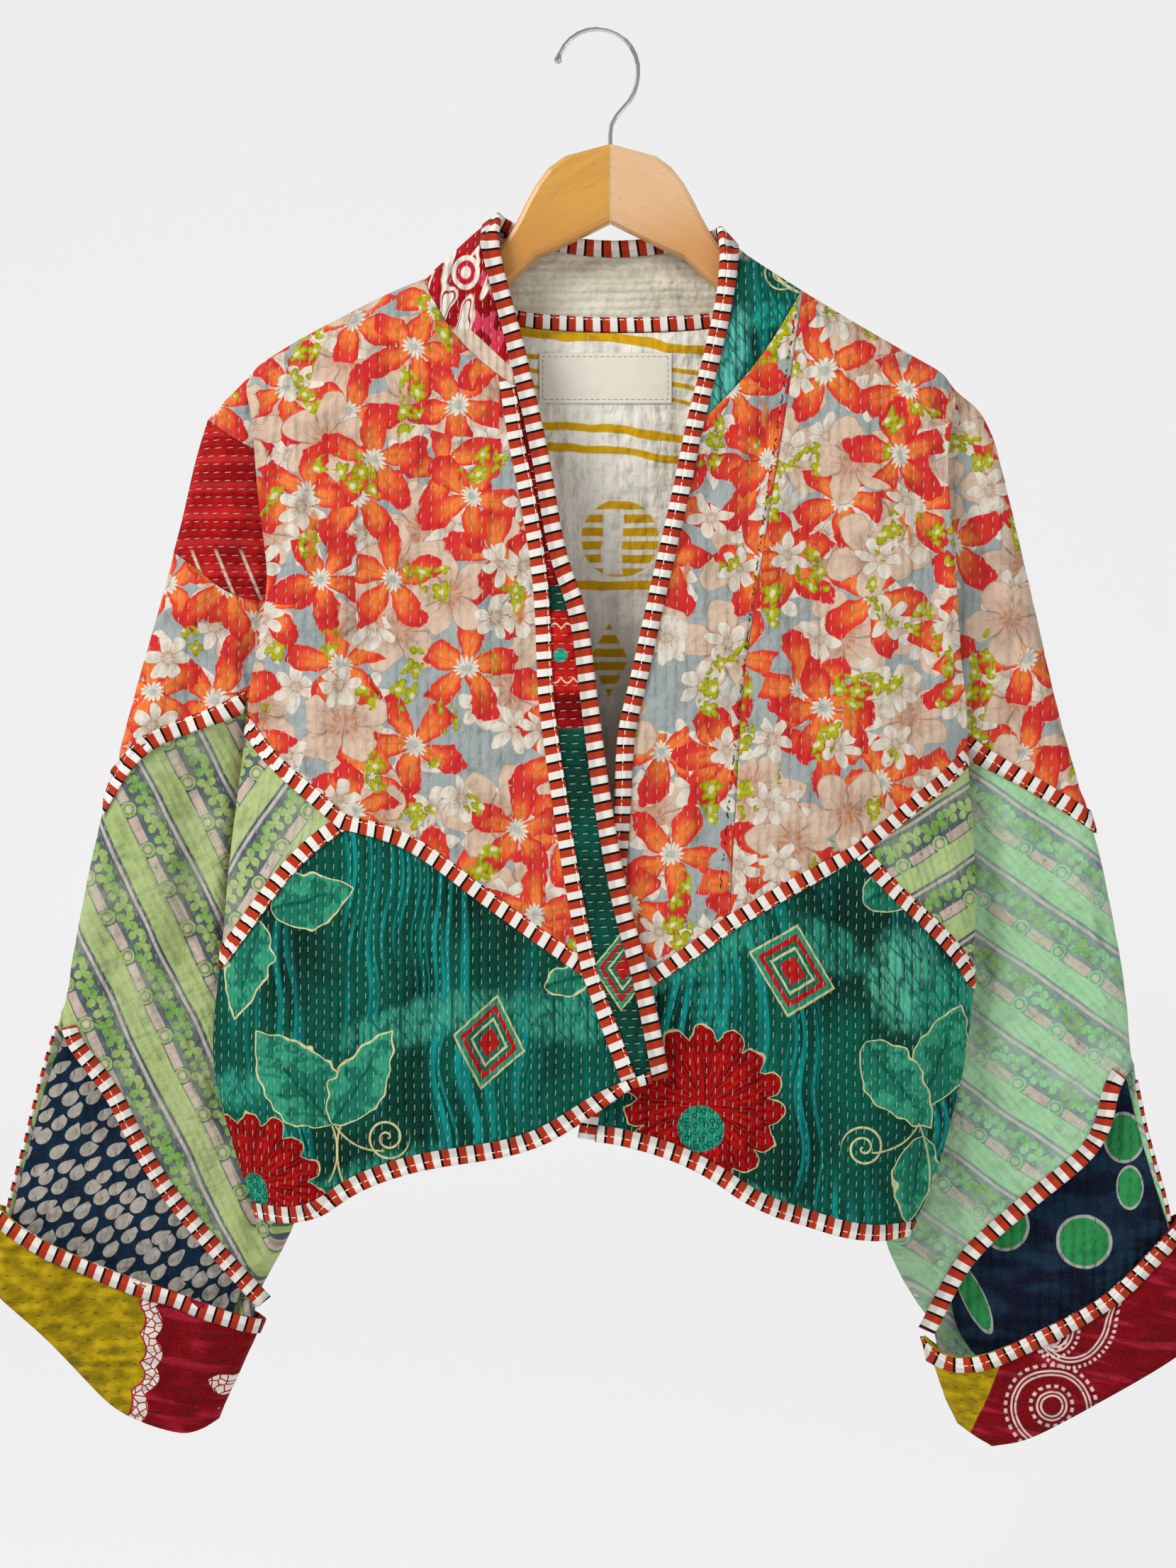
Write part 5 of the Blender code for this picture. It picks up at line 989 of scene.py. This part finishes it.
def tree_of(meshes):
    """The surface of some meshes as one, for rays to hit."""
    points, faces = [], []
    for mesh in meshes:
        start = len(points)
        points += [v.co.copy() for v in mesh.vertices]
        faces += [[start + k for k in p.vertices] for p in mesh.polygons]
    return BVHTree.FromPolygons(points, faces)


TUBES = {
    "sleeve_left": ("sleeve_upper_left", "sleeve_patch_left", "sleeve_lower_left"),
    "sleeve_right": ("sleeve_upper_right", "sleeve_lower_right"),
    "cuff_left": ("cuff_left",),
    "cuff_right": ("cuff_right",),
}
TREES = {group: tree_of(frame["nodes"][node].data for node in nodes) for group, nodes in TUBES.items()}


def ease(value, start, end):
    share = np.clip((value - start) / (end - start), 0, 1)
    return share * share * (3 - 2 * share)


def way_out(points, group):
    """Which way the cloth faces at each point: -1 front, 1 back, fading to 0 at its folds."""
    y = points[:, 1] / MM
    if group == "inside":
        return np.zeros(len(points))
    if group == "vent":
        return -np.ones(len(points))
    if group == "body":
        return np.sign(y) * ease(np.abs(y), *BODY_FADE)
    ways = np.zeros(len(points))
    for k, (x, _, z) in enumerate(points):
        front = TREES[group].ray_cast(Vector((x, -1.0, z)), Vector((0, 1, 0)))[0]
        behind = TREES[group].ray_cast(Vector((x, 1.0, z)), Vector((0, -1, 0)))[0]
        if front is None or behind is None:
            continue
        gap = (behind.y - front.y) / MM
        side = -1 if y[k] < (front.y + behind.y) / 2 / MM else 1
        ways[k] = side * ease(gap, *TUBE_FADE)
    return ways


CREASES = {
    "body": (BODY_FRONT_CREASES, BODY_BACK_CREASES),
    "sleeve_left": (SLEEVE_FRONT_CREASES, SLEEVE_BACK_CREASES),
    "sleeve_right": (SLEEVE_FRONT_CREASES, SLEEVE_BACK_CREASES),
    "cuff_left": (CUFF_CREASES, CUFF_CREASES),
    "cuff_right": (CUFF_CREASES, CUFF_CREASES),
    "vent": (VENT_CREASES, VENT_CREASES),
}


def relief(points, rows):
    """Soft ridges and troughs along short runs, fading at their ends."""
    at = np.column_stack([points[:, 0] / MM - HANGER_CENTRE, points[:, 2] / MM])
    height = np.zeros(len(at))
    for x0, z0, x1, z1, width, rise in rows:
        run = np.array([x1 - x0, z1 - z0], float)
        length = np.linalg.norm(run)
        rel = at - (x0, z0)
        along = (rel @ run) / length**2
        aside = (rel @ np.array([-run[1], run[0]])) / length
        bow = aside - CREASE_BOW * length * np.sin(math.pi * np.clip(along, 0, 1))
        height += rise * np.exp(-((bow / width) ** 2)) * ease(along, -0.15, 0.3) * ease(along, 1.15, 0.7)
    return height


def creased(piece, group):
    """Lay the creases of its group into a piece's points."""
    if group not in CREASES:
        return
    mesh = piece.data
    points = points_of(mesh)
    ways = np.zeros(len(points))
    mesh.attributes["way"].data.foreach_get("value", ways)
    front, behind = CREASES[group]
    rise = np.where(ways < 0, relief(points, front), relief(points, behind))
    points[:, 1] += ways * rise * CREASE_RISE * MM
    for x, z, reach, across, up in NUDGES.get(group, ()):
        away = np.hypot(points[:, 0] / MM - HANGER_CENTRE - x, points[:, 2] / MM - z)
        points[:, [0, 2]] += np.outer(np.exp(-((away / reach) ** 2)), (across * MM, up * MM))
    set_points(mesh, points)


def drawn_out(piece, node):
    """Carry a binding's last stretch on past its solid's end."""
    run = run_points(node)
    way = (run[-1] - run[-3]) / np.linalg.norm(run[-1] - run[-3])
    points = points_of(piece.data)
    along = points[:, [0, 2]] @ way
    share = ease(along, along.max() - END_REACH * MM, along.max())
    points[:, [0, 2]] += np.outer(share * DRAWN_OUT[node] * MM, way)
    set_points(piece.data, points)


def layer_of(elements, name):
    return elements.layers.float.get(name) or elements.layers.float.new(name)


def rim_edges(bm, thick):
    """Mark a wall's rims crisp: the edges round its narrow sides, and its corners."""
    crease = layer_of(bm.edges, "crease_edge")
    corner = layer_of(bm.verts, "crease_vert")
    narrow = {e for e in bm.edges if abs(e.calc_length() / MM - thick) < 0.02}
    rims = {f for f in bm.faces if any(e in narrow for e in f.edges)}
    for edge in bm.edges:
        ends = [f in rims for f in edge.link_faces]
        if len(ends) == 2 and ends[0] != ends[1]:
            edge[crease] = 1.0
    for vert in bm.verts:
        round_rim = [e for e in vert.link_edges if e[crease] == 1.0]
        if len(round_rim) == 2:
            a, b = ((e.other_vert(vert).co - vert.co).normalized() for e in round_rim)
            if a.dot(b) > CORNER:
                vert[corner] = 1.0


def sharp_edges(bm):
    """Mark a folded strip's long edges crisp."""
    crease = layer_of(bm.edges, "crease_edge")
    for edge in bm.edges:
        if len(edge.link_faces) == 2 and edge.calc_face_angle() > FOLD:
            edge[crease] = 1.0


def refined(piece, group, levels, mark, *size):
    """Mark the crisp edges, note which way the cloth faces, and subdivide."""
    bm = bmesh.new()
    bm.from_mesh(piece.data)
    mark(bm, *size)
    bm.to_mesh(piece.data)
    bm.free()
    way = piece.data.attributes.new("way", "FLOAT", "POINT")
    way.data.foreach_set("value", way_out(points_of(piece.data), group).astype(np.float32))
    fine = piece.modifiers.new("Subdivision", "SUBSURF")
    fine.levels = fine.render_levels = levels
    bpy.context.view_layer.objects.active = piece
    bpy.ops.object.modifier_apply(modifier=fine.name)


def shaded(piece, degrees=50):
    picked(piece)
    bpy.ops.object.shade_smooth_by_angle(angle=math.radians(degrees))


def cut_size(node, tube):
    """A piece's flat cut, from its solid: the rectangle about it, and its area, in metres."""
    mesh = frame["nodes"][node].data
    area = sum(p.area for p in mesh.polygons) / 2
    flat = points_of(mesh)[:, [0, 2]]
    flat = flat - flat.mean(0)
    _, axes = np.linalg.eigh(flat.T @ flat)
    extent = np.ptp(flat @ axes, axis=0)
    width, length = extent[0] * (2 if tube else 1), extent[1]
    grow = max(1.0, area / (width * length))
    return (float(width * grow), float(length)), float(area)


def dress(node):
    """Make one cloth piece over its node."""
    finish, group, levels = CLOTHS[node]
    piece = fresh_copy(node, f"{node}_cloth")
    refined(piece, group, levels, rim_edges, WALLS.get(node, CLOTH))
    creased(piece, group)
    if node.startswith("sleeve_lining"):
        let_out(piece)
    shaded(piece)
    piece.data.materials.append(FINISHES[finish])
    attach(piece, "root")
    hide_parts(node)
    flat, area = cut_size(node, group.startswith(("sleeve", "cuff")) and node != "sleeve_patch_left")


def run_points(node):
    """A binding's seam line as a smooth run of points, across and up in metres."""
    points = np.array(BINDING_RUNS[node], float)
    ends = np.vstack([2 * points[0] - points[1], points, 2 * points[-1] - points[-2]])
    share = np.linspace(0, 1, 12, endpoint=False)[:, None]
    parts = []
    for a, b, c, d in zip(ends, ends[1:], ends[2:], ends[3:]):
        bend = (2 * a - 5 * b + 4 * c - d) * share**2 + (3 * b - a - 3 * c + d) * share**3
        parts.append(0.5 * (2 * b + (c - a) * share + bend))
    fine = np.vstack([*parts, points[-1:]])
    along = np.concatenate([[0], np.cumsum(np.linalg.norm(np.diff(fine, axis=0), axis=1))])
    where = np.linspace(0, along[-1], max(4, round(along[-1] / RUN_STEP)))
    run = np.column_stack([np.interp(where, along, fine[:, k]) for k in range(2)])
    return (run + (HANGER_CENTRE, 0)) * MM


def strip_path(node, points, normals, back):
    """The seam line laid on the front or the back of its binding, in three dimensions."""
    facing, fewest, nearest = 0.2, 12, 14
    run = run_points(node)
    way = 1 if back else -1
    chosen = points[normals[:, 1] * way > facing]
    if len(chosen) < fewest:
        return None
    depth = []
    for x, z in run:
        away = (chosen[:, 0] - x) ** 2 + (chosen[:, 2] - z) ** 2
        depth.append((chosen[np.argsort(away)[:nearest], 1] * way).max() * way)
    depth = np.convolve(np.pad(depth, 2, mode="edge"), np.ones(5) / 5, mode="valid")
    return np.column_stack([run[:, 0], depth, run[:, 1]])


def strip_map(piece, node):
    """A binding's own map: along its seam, and across it, in metres."""
    mesh = piece.data
    points = points_of(mesh)
    normals = points_of(mesh, "normal")
    along_best = np.zeros(len(points))
    across_best = np.zeros(len(points))
    nearest = np.full(len(points), np.inf)
    for back in (False, True):
        path = strip_path(node, points, normals, back)
        if path is None:
            continue
        start, step = path[:-1], np.diff(path, axis=0)
        lengths = np.linalg.norm(step, axis=1)
        sums = np.concatenate([[0], np.cumsum(lengths)])
        for first in range(0, len(points), AT_ONCE):
            part = points[first : first + AT_ONCE]
            rel = part[:, None, :] - start[None]
            share = (rel * step).sum(2) / lengths**2
            share[:, 1:] = np.maximum(share[:, 1:], 0)
            share[:, :-1] = np.minimum(share[:, :-1], 1)
            away = np.linalg.norm(rel - share[..., None] * step, axis=2)
            best = away.argmin(1)
            rows = np.arange(len(part))
            gap = away[rows, best]
            at = sums[best] + share[rows, best] * lengths[best]
            turn = step[best][:, [0, 2]]
            off = rel[rows, best][:, [0, 2]]
            side = np.sign(turn[:, 0] * off[:, 1] - turn[:, 1] * off[:, 0])
            better = gap < nearest[first : first + AT_ONCE]
            here = np.arange(first, first + len(part))[better]
            nearest[here] = gap[better]
            along_best[here] = at[better]
            across_best[here] = (gap * side)[better]
    layer = mesh.uv_layers.new(name="strip")
    corner = np.zeros(len(mesh.loops), np.int32)
    mesh.loops.foreach_get("vertex_index", corner)
    layer.data.foreach_set("uv", np.column_stack([along_best[corner], across_best[corner]]).ravel())


def outer_edge(points):
    """Which way a piece's outer edge lies, 1 or -1, and its place across at every point's height."""
    turn = 1 if points[:, 0].mean() > 0 else -1
    levels = np.linspace(points[:, 2].min(), points[:, 2].max(), EDGE_LEVELS)
    step = levels[1] - levels[0]
    reach = [(points[np.abs(points[:, 2] - z) < step, 0] * turn).max() * turn for z in levels]
    return turn, np.interp(points[:, 2], levels, reach)


def let_out(piece):
    """Let a vent's facing out towards its outer edge, over the sleeve's cloth behind it."""
    points = points_of(piece.data)
    turn, edge = outer_edge(points)
    near = np.clip(1 - np.abs(edge - points[:, 0]) / (FACING_REACH * MM), 0, 1)
    points[:, 0] += turn * near * FACING_OUT * MM
    points[:, 1] -= near * FACING_FORWARDS * MM
    set_points(piece.data, points)


def narrowed(piece):
    """Draw a slit's binding in towards its outer edge."""
    points = points_of(piece.data)
    _, edge = outer_edge(points)
    points[:, 0] = edge + (points[:, 0] - edge) * SLIT_SHARE
    set_points(piece.data, points)


def binding_group(node):
    for name in ("sleeve_seam", "vent", "slit"):
        if node.startswith(name):
            return "sleeve_" + node.rsplit("_", 1)[1]
    if node.startswith("cuff"):
        return "cuff_" + node.rsplit("_", 1)[1]
    return "body"


def bind(node):
    """Make one binding over its node."""
    piece = fresh_copy(node, f"{node}_tape")
    group = binding_group(node)
    refined(piece, group, 2, sharp_edges)
    creased(piece, group)
    if node in DRAWN_OUT:
        drawn_out(piece, node)
    strip_map(piece, node)
    if node.startswith("slit"):
        narrowed(piece)
    shaded(piece, 60)
    piece.data.materials.append(FINISHES["binding_stripes"])
    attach(piece, "root")
    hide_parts(node)


def thread_run(name, surface, lines, radius):
    """Threads lying on the cloth: each a few points across, up and out from it, in millimetres."""
    curve = bpy.data.curves.new(name, "CURVE")
    curve.dimensions = "3D"
    curve.bevel_depth = radius * MM
    curve.bevel_resolution = 1
    for line in lines:
        spline = curve.splines.new("POLY")
        spline.points.add(len(line) - 1)
        for place, (x, z, lift) in zip(spline.points, line):
            start = Vector(((x + HANGER_CENTRE) * MM, -1.0, z * MM))
            hit = surface.ray_cast(start, Vector((0, 1, 0)))[0]
            place.co = (start.x, (hit.y if hit else 0.0) - lift * MM, start.z, 1.0)
    thread = bpy.data.objects.new(name, curve)
    bpy.context.scene.collection.objects.link(thread)
    picked(thread)
    bpy.ops.object.convert(target="MESH")
    thread.data.materials.append(FINISHES["black_thread"])
    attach(thread, "root")


def sew_by_hand():
    """Dark hand stitches down the pieced seam of the right front, and two loose ends of thread."""
    names = ("front_upper_right", "front_inner_right", "front_upper_left", "sleeve_lower_left")
    surface = tree_of(bpy.data.objects[f"{name}_cloth"].data for name in names)
    stitches = []
    for k in range(HAND_STITCHES):
        share = k / HAND_STITCHES + 0.004 * math.sin(k * 2.3)
        x, z = 112 - 46 * share - 4 * math.sin(share * 3), -178 - 352 * share
        lean, half = 0.7 * math.sin(k * 1.7), 1.1 + 0.5 * math.sin(k * 0.9)
        stitches.append([(x - lean, z + half, 0.1), (x, z, 0.4), (x + lean, z - half, 0.1)])
    thread_run("seam_stitches", surface, stitches, 0.28)
    loose = [
        [(-146, -396, 0.3), (-144, -399, 1.0), (-145, -402, 1.4), (-142, -405, 0.8), (-140, -409, 0.3)],
        [(-319, -607, 0.3), (-315, -609, 1.2), (-311, -607, 1.4), (-308, -605, 0.4)],
    ]
    thread_run("loose_threads", surface, loose, 0.22)


def make_stage():
    """A pale floor that sweeps up into a plain pale backdrop."""
    reach, floor, top, sweep = 3.0, -1.3, 1.6, 0.6
    turns = np.radians(np.linspace(8, 90, 12))
    middle = (reach - sweep, floor + sweep)
    profile = [(-reach, floor), (middle[0], floor)]
    profile += [(middle[0] + sweep * math.sin(a), middle[1] - sweep * math.cos(a)) for a in turns]
    profile += [(reach, top)]
    bm = bmesh.new()
    rows = [[bm.verts.new((x, y, z)) for y, z in profile] for x in (-reach, reach)]
    for k in range(len(profile) - 1):
        bm.faces.new((rows[0][k], rows[1][k], rows[1][k + 1], rows[0][k + 1]))
    data = bpy.data.meshes.new("backdrop")
    bm.to_mesh(data)
    bm.free()
    data.shade_smooth()
    backdrop = bpy.data.objects.new("backdrop", data)
    bpy.context.scene.collection.objects.link(backdrop)
    paper = bpy.data.materials.new("backdrop_paper")
    paper.use_nodes = True
    look = paper.node_tree.nodes["Principled BSDF"].inputs
    look["Base Color"].default_value = (0.26, 0.26, 0.26, 1)
    look["Emission Color"].default_value = (1.0, 1.0, 1.0, 1)
    look["Emission Strength"].default_value = 0.67
    look["Roughness"].default_value = 0.9
    look["Specular IOR Level"].default_value = 0.0
    data.materials.append(paper)


def lamp(name, place, size, power):
    """A soft square light turned towards the jacket's middle."""
    light = bpy.data.lights.new(name, "AREA")
    light.shape = "SQUARE"
    light.size = size
    light.energy = power
    made = bpy.data.objects.new(name, light)
    bpy.context.scene.collection.objects.link(made)
    made.location = place
    made.rotation_euler = (Vector((0, 0, -0.45)) - Vector(place)).to_track_quat("-Z", "Y").to_euler()


def make_camera():
    """The photo's own view: this far away, and this much from top to bottom at the fronts."""
    away, high = 1.350, 0.9622
    lens = bpy.data.cameras.new("camera")
    lens.sensor_width = 36.0
    lens.lens = lens.sensor_width * away / high
    camera = bpy.data.objects.new("camera", lens)
    bpy.context.scene.collection.objects.link(camera)
    camera.location = (-0.0057, -away, -0.46197)
    camera.rotation_euler = (math.radians(90), 0, 0)
    bpy.context.scene.camera = camera


def make_light():
    world = bpy.data.worlds.new("studio")
    bpy.context.scene.world = world
    world.use_nodes = True
    sky = world.node_tree.nodes["Background"].inputs
    sky["Color"].default_value = (1, 1, 1, 1)
    sky["Strength"].default_value = 0.38
    lamp("key", (-1.7, -1.4, 1.1), 1.1, 55)
    lamp("fill", (1.6, -1.7, -0.2), 1.8, 11)
    lamp("back_fill", (0.4, 0.4, 1.2), 1.2, 4)
    bpy.context.scene.view_settings.view_transform = "Standard"
    bpy.context.scene.view_settings.look = "None"


def finish_hanger():
    for part, finish in (("left", "wood_left"), ("right", "wood_right"), ("hook", "hook_wire")):
        own = frame["nodes"][f"hanger_{part}"].data.materials
        own.clear()
        own.append(FINISHES[finish])


make_camera()
make_light()
make_stage()
for node in CLOTHS:
    dress(node)
for node in BINDING_RUNS:
    bind(node)
sew_by_hand()
finish_hanger()
